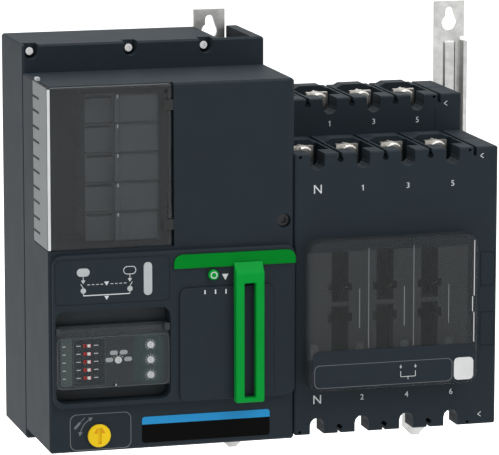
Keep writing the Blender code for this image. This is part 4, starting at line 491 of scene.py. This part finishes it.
for side, start in (("left", SOURCE_X[0] + DASH_START), ("right", MIDDLE_X + DASH_START)):
    for dash in range(DASHES):
        left = start + dash * DASH_PITCH
        low = BUS_Z - LINE / 2
        dash_box = (left, left + DASH_LENGTH, low, low + LINE)
        bar(f"interlock_{side}_{dash + 1}", *dash_box, PLATEAU_Y, WHITE_PRINT)
TRIANGLE = 1.8 * MM
TRIANGLE_SIZE = (TRIANGLE, 1.7 * TRIANGLE)
LOAD_DROP = 1.2 * MM
triangle("interlock_triangle", MIDDLE_X, BUS_Z + TRIANGLE, *TRIANGLE_SIZE, PLATEAU_Y, WHITE_PRINT)
triangle("load_arrow", MIDDLE_X, JOIN_Z - LOAD_DROP, *TRIANGLE_SIZE, PLATEAU_Y, WHITE_PRINT)

# Mode pointer, slider marks, and the button's ring and collar

POINTER_X = -129.2 * MM
POINTER_TOP = -13.6 * MM
POINTER_SIZE = (2.5 * MM, 4.6 * MM)
triangle("mode_pointer", POINTER_X, POINTER_TOP, *POINTER_SIZE, PLATEAU_Y, WHITE_PRINT)
slider_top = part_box("mode_slider")[1][2]
MODE_STEP = 8 * MM
TICK_HALF = 0.5 * MM
TICK_GAP = 2 * MM
TICK_LENGTH = (5.5 * MM, 5.25 * MM, 5 * MM)
for step, length in enumerate(TICK_LENGTH):
    x = POINTER_X - step * MODE_STEP
    tick = (x - TICK_HALF, x + TICK_HALF, slider_top - length, slider_top - TICK_GAP)
    bar(f"mode_tick_{step + 1}", *tick, SLIDER_Y, WHITE_PRINT, body="mode_slider")
button_low, button_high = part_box("open_button")
button_x = (button_low[0] + button_high[0]) / 2
button_z = (button_low[2] + button_high[2]) / 2
BUTTON_RING = 2.6 * MM
BUTTON_RING_WIDTH = 0.7 * MM
COLLAR = 5.4 * MM
COLLAR_WIDTH = 1.1 * MM
COLLAR_RISE = 0.8 * MM
ring = disc(button_x, button_z, BUTTON_RING)
line_frame("button_mark", ring, BUTTON_Y, BUTTON_RING_WIDTH, WHITE_PRINT, body="open_button")
collar = disc(button_x, button_z, COLLAR)
line_frame("button_collar", collar, PLATEAU_Y, COLLAR_WIDTH, DARK_PANEL, rise=COLLAR_RISE)

# Settings unit: printed fields and marks, dial eyes, and bridges over the DIP bank

KEY = (-253 * MM, -244.4 * MM, -92 * MM, -56.4 * MM)
DIAL_PANEL = (-198.3 * MM, -175 * MM, -92.8 * MM, -56 * MM)
SWITCH_PANEL = (-243.4 * MM, -219.4 * MM, -92.6 * MM, -57 * MM)
SWITCH_RADIUS = 2 * MM
FINE = 0.3 * MM
SWITCH_TICK_REACH = 6.6 * MM
SWITCH_TICK_HALF = 1.6 * MM
KEY_TICK_INSET = 2.6 * MM
KEY_TICK_HALF = 1.2 * MM
DIP_X = -233 * MM
DIP_TOP = -62.2 * MM
DIP_PITCH = 6 * MM
DIP_ROWS = 5
RED_HALF = 1.2 * MM
bank_low, bank_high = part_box("dip_switch_bank")
BANK_Y = bank_low[1]
BRIDGE_LAP = 0.3 * MM
bar("settings_key", *KEY, UNIT_Y, LABEL_GREY)
bar("dial_panel", *DIAL_PANEL, UNIT_Y, DIAL_FIELD)
bank_outline = rounded(bank_low[0], bank_high[0], bank_low[2], bank_high[2], FINE)
switch_outline = rounded(*SWITCH_PANEL, SWITCH_RADIUS)
flat("switch_panel", switch_outline, UNIT_Y, SWITCH_FIELD, inner=bank_outline)
line_frame("switch_border", switch_outline, UNIT_Y - PRINT, FINE, LABEL_GREY)
edges = [bank_high[2] + BRIDGE_LAP]
for row in range(DIP_ROWS):
    z = DIP_TOP - DIP_PITCH * row
    edges += [z + RED_HALF, z - RED_HALF]
    for side, reach in (("left", -SWITCH_TICK_REACH), ("right", SWITCH_TICK_REACH)):
        x = DIP_X + reach
        tick = (x - SWITCH_TICK_HALF, x + SWITCH_TICK_HALF, z - FINE, z + FINE)
        bar(f"switch_tick_{side}_{row + 1}", *tick, UNIT_Y - PRINT, WHITE_PRINT)
    x = KEY[0] + KEY_TICK_INSET
    tick = (x - KEY_TICK_HALF, x + KEY_TICK_HALF, z - FINE, z + FINE)
    bar(f"key_tick_{row + 1}", *tick, UNIT_Y - PRINT, WHITE_PRINT)
edges.append(bank_low[2] - BRIDGE_LAP)
for number in range(DIP_ROWS + 1):
    sides = (bank_low[0] - BRIDGE_LAP, bank_high[0] + BRIDGE_LAP)
    ends = (edges[2 * number + 1], edges[2 * number])
    bar(f"bank_bridge_{number + 1}", *sides, *ends, UNIT_Y, SWITCH_FIELD, rise=UNIT_Y - BANK_Y + PRINT)
MODE_X = -209.8 * MM
MODE_Z = -74.1 * MM
MODE_PLATE = (5.8 * MM, 3.2 * MM, 1.5 * MM)
# Places about the mode dial, in millimetres
MODE_PLATE_SPOTS = ((-6.6, 0.3), (-3.2, 5.5), (4.2, 5.5), (7.5, 0.3))
MODE_TICKS = ((-3, 2.2), (-1, 3.4), (1.4, 3.4), (3.2, 2.2))
MODE_TICK = (1.1 * MM, 0.45 * MM)
for number, (x, z) in enumerate(MODE_TICKS, start=1):
    outline = turned(MODE_X + x * MM, MODE_Z + z * MM, *MODE_TICK, degrees(atan2(z, x)))
    flat(f"mode_dial_tick_{number}", outline, UNIT_Y, WHITE_PRINT)
for number, (x, z) in enumerate(MODE_PLATE_SPOTS, start=1):
    outline = lozenge(MODE_X + x * MM, MODE_Z + z * MM, *MODE_PLATE)
    flat(f"mode_plate_{number}", outline, UNIT_Y, LIGHT_GREY)
DIAL_X = -185.4 * MM
DIAL_ROWS = (-64 * MM, -75.25 * MM, -86.5 * MM)
DIAL_TICKS = 11
DIAL_REACH = 3.6 * MM
DIAL_TICK = (1.2 * MM, 0.45 * MM)
DIAL_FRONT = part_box("setting_dial_1")[0][1]
DIAL_EYE = (1.9 * MM, 3.4 * MM, 0.9 * MM)
EYE_LINE = 0.35 * MM
DOTS = 9
DOT_RADIUS = 0.5 * MM
# Radius, and half turn in degrees, of each dial's ring of dots
DOT_RINGS = ((7.5 * MM, 115), (5.4 * MM, 140), (5.4 * MM, 140))
DIAL_SWEEP = 150
for number, z in enumerate(DIAL_ROWS, start=1):
    for step in range(DIAL_TICKS):
        angle = 90 + DIAL_SWEEP - 2 * DIAL_SWEEP * step / (DIAL_TICKS - 1)
        at = (DIAL_X + DIAL_REACH * cos(radians(angle)), z + DIAL_REACH * sin(radians(angle)))
        tick = turned(*at, *DIAL_TICK, angle)
        flat(f"dial_{number}_tick_{step + 1}", tick, UNIT_Y - PRINT, WHITE_PRINT)
    reach, half_turn = DOT_RINGS[number - 1]
    for step in range(DOTS):
        turn = radians(90 + half_turn - 2 * half_turn * step / (DOTS - 1))
        dot = disc(DIAL_X + reach * cos(turn), z + reach * sin(turn), DOT_RADIUS, DOT_SIDES)
        flat(f"dial_{number}_dot_{step + 1}", dot, UNIT_Y - PRINT, GREY_PRINT)
    eye = lozenge(DIAL_X, z, *DIAL_EYE)
    line_frame(f"dial_{number}_eye", eye, DIAL_FRONT, EYE_LINE, LIGHT_GREY, body=f"setting_dial_{number}")
eye = lozenge(MODE_X, MODE_Z, *DIAL_EYE)
line_frame("mode_dial_eye", eye, DIAL_FRONT, EYE_LINE, LIGHT_GREY, body="mode_dial")

# Flap: rim and catch; recess: paler back above and below the unit

flap_low, flap_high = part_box("settings_flap")
FLAP = "settings_flap"
FLAP_Y = flap_low[1]
RIM_INSET = 0.5 * MM
RIM_TOP = -55.4 * MM
RIM_RADIUS = 4 * MM
RIM_WIDTH = 0.4 * MM
rim_sides = (flap_low[0] + RIM_INSET, flap_high[0] - RIM_INSET)
rim = rounded(*rim_sides, flap_low[2] + RIM_INSET, RIM_TOP, RIM_RADIUS)
line_frame("flap_rim", rim, FLAP_Y, RIM_WIDTH, GREY, body=FLAP, slot="clear_moulding")
CATCH = (-213.4 * MM, -91.9 * MM)
CATCH_RADIUS = 1.1 * MM
CATCH_TICK_REACH = 0.9 * MM
CATCH_TICK = (1.6 * MM, 0.5 * MM)
CATCH_TICK_ANGLE = 70
flat("flap_catch", disc(*CATCH, CATCH_RADIUS), FLAP_Y, INNER_DARK, body=FLAP)
catch_tick = turned(CATCH[0] + CATCH_TICK_REACH, CATCH[1], *CATCH_TICK, CATCH_TICK_ANGLE)
flat("flap_catch_tick", catch_tick, FLAP_Y - PRINT, WHITE_PRINT, body=FLAP)
unit_low, unit_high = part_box("settings_body")
RECESS_DEPTH = 14 * MM
RECESS_Y = PLATEAU_Y + RECESS_DEPTH
RECESS_SHIFT = (0.1 * MM, 0.3 * MM)
RECESS_SIDES = (unit_low[0] + RECESS_SHIFT[0], unit_high[0] + RECESS_SHIFT[1])
RECESS_ENDS = (-104 * MM, -36 * MM)
BACK_LAP = 10 * MM
BACK_RADIUS = 6.5 * MM
upper = rounded(*RECESS_SIDES, unit_high[2] - BACK_LAP, RECESS_ENDS[1], BACK_RADIUS)
flat("recess_back_upper", upper, RECESS_Y, UNIT_DARK)
lower = rounded(*RECESS_SIDES, RECESS_ENDS[0], unit_low[2] + BACK_LAP, BACK_RADIUS)
flat("recess_back_lower", lower, RECESS_Y, UNIT_DARK)

# Test selector: outline, arrow, sweep and a small picture of a tool

selector_low, selector_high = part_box("test_selector")
selector_x = (selector_low[0] + selector_high[0]) / 2
selector_z = (selector_low[2] + selector_high[2]) / 2
SELECTOR_BOX = (-246 * MM, -199.8 * MM, -141 * MM, -113.8 * MM)
SELECTOR_BOX_RADIUS = 5 * MM
ARROW_IN = 1.7 * MM
ARROW_OUT = 4.4 * MM
ARROW_TIP = selector_z + 6.4 * MM
ARROW_FOOT = selector_z + 2 * MM
line_frame("selector_outline", rounded(*SELECTOR_BOX, SELECTOR_BOX_RADIUS), FRONT_Y, LINE, GREY_PRINT)
for side, lean in (("left", -1), ("right", 1)):
    near = selector_x + lean * ARROW_IN
    half = [(near, ARROW_TIP), (selector_x + lean * ARROW_OUT, ARROW_FOOT), (near, ARROW_FOOT)]
    flat(f"selector_arrow_{side}", half, SELECTOR_Y, ORANGE, body="test_selector", slot="yellow_moulding")
SWEEP_RADIUS = 14.2 * MM
SWEEP_WIDTH = 0.6 * MM
SWEEP_START = 120
SWEEP_END = 168
SWEEP_STEPS = 8
outer = arc((selector_x, selector_z), SWEEP_RADIUS, SWEEP_START, SWEEP_END, SWEEP_STEPS)
inner = arc((selector_x, selector_z), SWEEP_RADIUS - SWEEP_WIDTH, SWEEP_END, SWEEP_START, SWEEP_STEPS)
flat("selector_sweep", outer + inner, FRONT_Y, GREY_PRINT)
SWEEP_HEADS = ((114, -1.5 * MM), (174, 1.5 * MM))
HEAD_INNER = SWEEP_RADIUS - 1.8 * MM
HEAD_OUTER = SWEEP_RADIUS + 1.4 * MM


def sweep_point(reach, angle, ahead):
    """A point at a radius and angle about the selector, moved along the sweep."""
    turn = radians(angle)
    x = selector_x + reach * cos(turn) - ahead * sin(turn)
    return (x, selector_z + reach * sin(turn) + ahead * cos(turn))


for number, (angle, ahead) in enumerate(SWEEP_HEADS, start=1):
    head = [sweep_point(SWEEP_RADIUS, angle, ahead)]
    head += [sweep_point(reach, angle, -ahead) for reach in (HEAD_INNER, HEAD_OUTER)]
    flat(f"selector_head_{number}", head, FRONT_Y, GREY_PRINT)
TOOL_ANGLE = 47
# Name, place, length and width in millimetres
TOOL = (("blade", -236.6, -118.2, 5.2, 0.5), ("grip", -240.4, -122.2, 6, 1.7))
for name, x, z, length, width in TOOL:
    outline = turned(x * MM, z * MM, length * MM, width * MM, TOOL_ANGLE)
    flat(f"tool_{name}", outline, FRONT_Y, GREY_PRINT)

# Bare notice plate: a blue band over a black field

NOTICE = (-191.6 * MM, -93.9 * MM, -138.3 * MM, -118.6 * MM)
BAND_LINE = -124.4 * MM
NOTICE_RADIUS = 2.2 * MM
NOTICE_RISE = 0.3 * MM
field = rounded(*NOTICE, NOTICE_RADIUS)
flat("notice_field", field, FRONT_Y, BLACK, rise=NOTICE_RISE)
band = [(NOTICE[0], BAND_LINE), (NOTICE[1], BAND_LINE)] + [p for p in field if p[1] > BAND_LINE]
flat("notice_band", band, FRONT_Y - NOTICE_RISE, BLUE)

# Plate at the foot of the front switch's clear cover, with a small diagram and a blank sticker

window_low, window_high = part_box("window_cover")
LABEL_TOP = -74 * MM
PLATE_INSET = 2.5 * MM
PLATE_FOOT = 2 * MM
PLATE_RADIUS = 5 * MM
PLATE_RISE = 0.3 * MM
PLATE_Y = WINDOW_Y - PLATE_RISE
PLATE_LINE = (-64.1 * MM, 43.5 * MM, -102 * MM, -84.5 * MM)
PLATE_LINE_RADIUS = 4 * MM
PLATE_LINE_WIDTH = 0.35 * MM
STICKER = (44.8 * MM, 60 * MM, -101.5 * MM, -84.5 * MM)
STICKER_RISE = 0.2 * MM
plate_sides = (window_low[0] + PLATE_INSET, window_high[0] - PLATE_INSET)
plate = rounded(*plate_sides, window_low[2] + PLATE_FOOT, LABEL_TOP, PLATE_RADIUS)
flat("window_plate", plate, WINDOW_Y, DARK_PANEL, rise=PLATE_RISE)
plate_line = rounded(*PLATE_LINE, PLATE_LINE_RADIUS)
line_frame("window_plate_outline", plate_line, PLATE_Y, PLATE_LINE_WIDTH, GREY_PRINT)
bar("blank_sticker", *STICKER, PLATE_Y, WHITE, rise=STICKER_RISE)
SMALL_X = (3 * MM, 14.5 * MM)
SMALL_TOP = -87.5 * MM
SMALL_LINE = 2 * MM
SMALL_HEAD = (1 * MM, 1.6 * MM)
SMALL_HEAD_DROP = 1.2 * MM
SMALL_JOIN = -96.3 * MM
SMALL_DROP = 4 * MM
OUTLET_X = 8.5 * MM
OUTLET_DROP = 2.4 * MM
for number, x in enumerate(SMALL_X, start=1):
    triangle(f"plate_head_{number}", x, SMALL_TOP - SMALL_HEAD_DROP, *SMALL_HEAD, PLATE_Y, WHITE_PRINT)
    line = (x - LINE / 2, x + LINE / 2)
    bar(f"plate_line_{number}", *line, SMALL_TOP - SMALL_LINE, SMALL_TOP, PLATE_Y, WHITE_PRINT)
    bar(f"plate_drop_{number}", *line, SMALL_JOIN, SMALL_JOIN + SMALL_DROP, PLATE_Y, WHITE_PRINT)
bar("plate_join", *SMALL_X, SMALL_JOIN - LINE, SMALL_JOIN, PLATE_Y, WHITE_PRINT)
outlet = (OUTLET_X, OUTLET_X + LINE, SMALL_JOIN - OUTLET_DROP, SMALL_JOIN - LINE)
bar("plate_outlet", *outlet, PLATE_Y, WHITE_PRINT)

# Dark floors of the stepped slots between the poles

SLOT_DEPTH = 12 * MM
SLOT_Y = CASE_Y + SLOT_DEPTH
SLOT_HALF = 6.4 * MM
STEP_HALF = 9.2 * MM
# Name, half width, and foot and top in millimetres
SLOT_RUNS = (
    ("upper", SLOT_HALF, -40.4, -2.6),
    ("upper_step", STEP_HALF, -32.1, -26.7),
    ("lower", SLOT_HALF, -83.9, -43.9),
    ("lower_step", STEP_HALF, -55.4, -49),
)
for number, x in enumerate(BARRIER_X, start=1):
    for part, half, low, high in SLOT_RUNS:
        bar(f"slot_floor_{part}_{number}", x - half, x + half, low * MM, high * MM, SLOT_Y, SLOT_FLOOR)

# Paler pole faces beside the slots, and the bars that part the slots

FACE_HALF = 10.9 * MM
FACE_STEP_HALF = 8.1 * MM
# Name, half width, and foot and top in millimetres
FACE_RUNS = (
    ("upper", FACE_HALF, -26.5, -2.6),
    ("upper_step", FACE_STEP_HALF, -32.3, -26.5),
    ("middle", FACE_HALF, -48.8, -32.3),
    ("lower_step", FACE_STEP_HALF, -55.6, -48.8),
    ("lower", FACE_HALF, -83.9, -55.6),
)
for number, x in enumerate(POLE_X, start=1):
    for part, half, low, high in FACE_RUNS:
        left = plate_sides[0] if number == 1 else x - half
        right = plate_sides[1] if number == POLES else x + half
        outline = [(left, low * MM), (right, low * MM), (right, high * MM), (left, high * MM)]
        flat(f"pole_face_{part}_{number}", outline, CASE_Y, POLE_FACE)
BAR_ENDS = (-43.7 * MM, -40.4 * MM)
for number, x in enumerate(BARRIER_X, start=1):
    bar(f"slot_bar_{number}", x - SLOT_HALF, x + SLOT_HALF, *BAR_ENDS, CASE_Y, POLE_FACE)

# Behind the clear cover: pole feet and edge lines. On it: fine ribs and a painted highlight along its
# right edge.
# Beside it: the outlines of two knock-outs in the case.

FOOT_X = -2.3 * MM
FOOT_HALF = 3.3 * MM
FOOT_ENDS = (-84 * MM, -71.7 * MM)
FOOT_RADIUS = 2.6 * MM
FOOT_RISE = 1.2 * MM
POLE_EDGE_ENDS = (-61 * MM, -31 * MM)
for number, x in enumerate(POLE_X, start=1):
    middle = x + FOOT_X
    outline = rounded(middle - FOOT_HALF, middle + FOOT_HALF, *FOOT_ENDS, FOOT_RADIUS)
    flat(f"pole_foot_{number}", outline, CASE_Y, FOOT_GREY, rise=FOOT_RISE)
    if number > 1:
        sides = (middle - FINE, middle + FINE)
        bar(f"pole_edge_{number}", *sides, *POLE_EDGE_ENDS, CASE_Y - PRINT, LIGHT_GREY)
RIB_FOOT = 1 * MM
RIB_HEAD = 6 * MM
RIB_ENDS = (LABEL_TOP + RIB_FOOT, window_high[2] - RIB_HEAD)
for number, x in enumerate(POLE_X[1:3], start=1):
    bar(f"cover_rib_{number}", x - FINE, x + FINE, *RIB_ENDS, WINDOW_Y, GREY_PRINT)
# Painted highlight: white bars in the white print material along the clear cover's right edge
EDGE_X = 60 * MM
EDGE_WIDTH = 0.6 * MM
# Foot, top and shift to the side of each run, in millimetres
EDGE_RUNS = ((-38, 4, 0), (-50, -38.6, -1.2), (-73, -50.6, 0))
for number, (low, high, shift) in enumerate(EDGE_RUNS, start=1):
    x = EDGE_X + shift * MM
    bar(f"cover_edge_highlight_{number}", x, x + EDGE_WIDTH, low * MM, high * MM, WINDOW_Y, WHITE_PRINT)
KNOCKOUT_SIDES = (70.4 * MM, 82 * MM)
KNOCKOUT_TOPS = (-8 * MM, -54 * MM)
KNOCKOUT_HEIGHT = 26 * MM
KNOCKOUT_RADIUS = 1.5 * MM
KNOCKOUT_LINE = 0.4 * MM
KNOCKOUT_RISE = 0.25 * MM
for number, top in enumerate(KNOCKOUT_TOPS, start=1):
    outline = rounded(*KNOCKOUT_SIDES, top - KNOCKOUT_HEIGHT, top, KNOCKOUT_RADIUS)
    line_frame(f"knockout_{number}", outline, CASE_Y, KNOCKOUT_LINE, INNER_DARK, rise=KNOCKOUT_RISE)

# Function modules: panel outlines, and painted highlights on the step edge at the top of each module

MODULES = 5
STEP_X = -206.4 * MM
PANEL_GAP = 0.8 * MM
PANEL_INSET = (1.4 * MM, 1 * MM)
PANEL_LINE = 0.35 * MM
EDGE_HALF = 0.5 * MM
EDGE_HEIGHT = 2.8 * MM
for number in range(1, MODULES + 1):
    low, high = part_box(f"function_module_{number}")
    sides = (STEP_X + PANEL_INSET[0], high[0] - PANEL_INSET[1])
    outline = rounded(*sides, low[2] + PANEL_GAP, high[2] - PANEL_GAP, PANEL_GAP)
    line_frame(f"module_panel_{number}", outline, low[1], PANEL_LINE, INNER_DARK)
    # Painted highlight: a light bar where the step edge at the module's top catches the light
    edge = (STEP_X - EDGE_HALF, STEP_X + EDGE_HALF, high[2] - EDGE_HEIGHT, high[2])
    bar(f"module_edge_highlight_{number}", *edge, low[1], PAINTED_HIGHLIGHT)

# Module cover: painted highlights on the left edge and along the top edge, a side in painted sheen with
# slits and dots, clip and pin mark

cover_low, cover_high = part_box("module_cover")
COVER = "module_cover"
LEFT_EDGE_WIDTH = 2.1 * MM
LEFT_EDGE_FOOT = 0.6 * MM
LEFT_EDGE_HEAD = 1.4 * MM
TOP_LINE_LEFT = 2 * MM
TOP_LINE_RIGHT = -170 * MM
TOP_LINE_DROPS = (0.7 * MM, 0.2 * MM)
# Painted highlight: a light bar along the cover's left edge
left_sides = (cover_low[0], cover_low[0] + LEFT_EDGE_WIDTH)
left_edge = (*left_sides, cover_low[2] + LEFT_EDGE_FOOT, cover_high[2] - LEFT_EDGE_HEAD)
bar("cover_left_edge_highlight", *left_edge, FRONT_Y, PAINTED_HIGHLIGHT, body=COVER, slot="clear_moulding")
# Painted highlight: a thin grey line along the cover's top edge
top_sides = (cover_low[0] + TOP_LINE_LEFT, TOP_LINE_RIGHT)
top_line = (*top_sides, *[cover_high[2] - drop for drop in TOP_LINE_DROPS])
bar("cover_top_highlight", *top_line, FRONT_Y, GREY_PRINT, body=COVER, slot="clear_moulding")
SIDE_DEPTHS = (1.2 * MM, 0.5 * MM)
SIDE_FOOT = 0.6 * MM
SIDE_HEAD = 0.8 * MM
SIDE_RADIUS = 1 * MM
panel_ends = (cover_low[1] + SIDE_DEPTHS[0], cover_high[1] - SIDE_DEPTHS[1])
panel_heights = (cover_low[2] + SIDE_FOOT, cover_high[2] - SIDE_HEAD)
panel = rounded(*panel_ends, *panel_heights, SIDE_RADIUS, COARSE_STEPS)
# Painted sheen: a light grey panel on the clear cover's side stands in for its reflection at a grazing
# angle
flat("cover_side_sheen", panel, cover_low[0], PAINTED_SIDE_SHEEN, body=COVER, slot="clear_moulding", side=True)
SLIT_ROWS = 5
SLIT_PITCH = 22.3 * MM
SLIT_TOP = 23 * MM
SLIT_LIFT = 10.4 * MM
SLIT_HEIGHT = 1.9 * MM
SLIT_DEPTH = 21 * MM
SLIT_RADIUS = 0.3 * MM
SIDE_DOTS = (3.6 * MM, 7.8 * MM)
SIDE_DOT_INSET = 6 * MM
SIDE_DOT_RADIUS = 0.7 * MM
SIDE_X = cover_low[0] - PRINT
side_more = {"body": COVER, "rise": PRINT / 2, "side": True}
for row in range(SLIT_ROWS):
    base = cover_high[2] - SLIT_TOP - SLIT_PITCH * row
    ends = (cover_high[1] - SLIT_DEPTH, cover_high[1] - SIDE_DEPTHS[1])
    for number, z in enumerate((base, base + SLIT_LIFT), start=1):
        slit = rounded(*ends, z, z + SLIT_HEIGHT, SLIT_RADIUS, COARSE_STEPS)
        flat(f"side_slit_{row + 1}_{number}", slit, SIDE_X, INNER_DARK, **side_more)
    for number, lift in enumerate(SIDE_DOTS, start=1):
        dot = disc(cover_high[1] - SIDE_DOT_INSET, base + lift, SIDE_DOT_RADIUS, DOT_SIDES)
        flat(f"side_dot_{row + 1}_{number}", dot, SIDE_X, GREY_PRINT, **side_more)
CLIP_LEFT = 0.5 * MM
CLIP_RIGHT = 3.5 * MM
CLIP_LAP = 0.3 * MM
CLIP_HEIGHT = 2.4 * MM
CLIP_RADIUS = 0.4 * MM
CLIP_INSET = 4 * MM
CLIP_RISE = 6 * MM
PIN_MARK = (-172.3 * MM, 122.7 * MM)
PIN_MARK_RADIUS = 1.2 * MM
clip_sides = (cover_low[0] + CLIP_LEFT, cover_low[0] + CLIP_RIGHT)
clip_heights = (cover_high[2] - CLIP_LAP, cover_high[2] + CLIP_HEIGHT)
clip = rounded(*clip_sides, *clip_heights, CLIP_RADIUS, COARSE_STEPS)
clip_y = cover_high[1] - CLIP_INSET
flat("cover_clip", clip, clip_y, LIGHT_GREY, body=COVER, rise=CLIP_RISE, slot="clear_moulding")
flat("cover_pin_mark", disc(*PIN_MARK, PIN_MARK_RADIUS), FRONT_Y, INNER_DARK, body=COVER)

# Cover hinge: grey faces on the lugs, and plates on the cover over the gaps beside them

LUG_SIDES = (-171.8 * MM, -167 * MM)
GAP_SIDES = (-174.5 * MM, -171.9 * MM)
LUG_FEET = (20.2 * MM, 108.6 * MM)
LUG_HEIGHT = 8 * MM
LUG_GAP = 0.6 * MM
LUG_SINK = 0.3 * MM
LUG_Y = FRONT_Y + LUG_SINK
for number, foot in enumerate(LUG_FEET, start=1):
    bar(f"hinge_face_{number}", *LUG_SIDES, foot, foot + LUG_HEIGHT, LUG_Y, HINGE_GREY)
    gap = (*GAP_SIDES, foot - LUG_GAP, foot + LUG_HEIGHT + LUG_GAP)
    bar(f"hinge_plate_{number}", *gap, FRONT_Y, HINGE_GREY, body=COVER, slot="clear_moulding")

# Floor, light and camera

def seen_ray(tree, path):
    """One for a ray from the camera, or by reflection or through glass, and zero for light."""
    value = path.outputs["Is Camera Ray"]
    for kind in ("Is Glossy Ray", "Is Transmission Ray"):
        either = tree.nodes.new("ShaderNodeMath")
        either.operation = "MAXIMUM"
        tree.links.new(value, either.inputs[0])
        tree.links.new(path.outputs[kind], either.inputs[1])
        value = either.outputs["Value"]
    return value


FLOOR_DROP = 60 * MM
FLOOR_SIZE = 30
FLOOR_Y = 4
FLOOR_COLOUR = (0.9, 0.9, 0.9, 1)
FLOOR_ROUGHNESS = 0.8
FLOOR_GLOW = 0.75
WHITE_LIGHT = (1, 1, 1, 1)
FLOOR_Z = cad_box[0][2] - FLOOR_DROP
bpy.ops.mesh.primitive_plane_add(size=FLOOR_SIZE, location=(0, FLOOR_Y, FLOOR_Z))
floor = bpy.context.object
floor.name = "floor"
floor_material, floor_tree, floor_shader = graph("pale_floor")
floor_shader.inputs["Base Color"].default_value = FLOOR_COLOUR
floor_shader.inputs["Roughness"].default_value = FLOOR_ROUGHNESS
floor_path = floor_tree.nodes.new("ShaderNodeLightPath")
floor_shader.inputs["Emission Color"].default_value = WHITE_LIGHT
glow = floor_tree.nodes.new("ShaderNodeMath")
glow.operation = "MULTIPLY"
glow.inputs[1].default_value = FLOOR_GLOW
floor_tree.links.new(seen_ray(floor_tree, floor_path), glow.inputs[0])
floor_tree.links.new(glow.outputs["Value"], floor_shader.inputs["Emission Strength"])
dress(floor, floor_material)

world = bpy.data.worlds.new("studio")
bpy.context.scene.world = world
world.use_nodes = True
tree = world.node_tree
background = tree.nodes["Background"]
background.inputs["Color"].default_value = WHITE_LIGHT
path = tree.nodes.new("ShaderNodeLightPath")
AMBIENT = 0.5
BACKDROP = 1.0
level = tree.nodes.new("ShaderNodeMapRange")
level.inputs["To Min"].default_value = AMBIENT
level.inputs["To Max"].default_value = BACKDROP
tree.links.new(seen_ray(tree, path), level.inputs["Value"])
tree.links.new(level.outputs["Result"], background.inputs["Strength"])


def lamp(name, place, target, size, power):
    data = bpy.data.lights.new(name, "AREA")
    data.size = size
    data.energy = power
    obj = bpy.data.objects.new(name, data)
    obj.location = place
    obj.rotation_euler = (Vector(target) - Vector(place)).to_track_quat("-Z", "Y").to_euler()
    bpy.context.scene.collection.objects.link(obj)


# Each lamp's name, place, target, size in metres and power in watts
LAMPS = (
    ("key_light", (0.7, -1.3, 1.7), (-0.05, -0.1, 0), 1.2, 23),
    ("top_light", (-0.3, 0.1, 1.8), (-0.05, -0.1, 0), 1.4, 17),
    ("fill_light", (-1.8, -1.0, 0.5), (-0.1, -0.1, 0), 1.2, 5),
)
for entry in LAMPS:
    lamp(*entry)

# The photograph's view: focal length in pixels over its width in pixels
FOCAL_PIXELS = 3701
WIDTH_PIXELS = 499
SENSOR = 36
CAMERA_PLACE = (-0.8363, -2.7371, 0.5039)
CAMERA_AIM = (0.26706, 0.94708, -0.17810)
camera_data = bpy.data.cameras.new("camera")
camera_data.sensor_width = SENSOR
camera_data.lens = SENSOR * FOCAL_PIXELS / WIDTH_PIXELS
camera = bpy.data.objects.new("camera", camera_data)
camera.location = CAMERA_PLACE
camera.rotation_euler = Vector(CAMERA_AIM).to_track_quat("-Z", "Y").to_euler()
bpy.context.scene.collection.objects.link(camera)
bpy.context.scene.camera = camera
bpy.context.scene.view_settings.view_transform = "Standard"
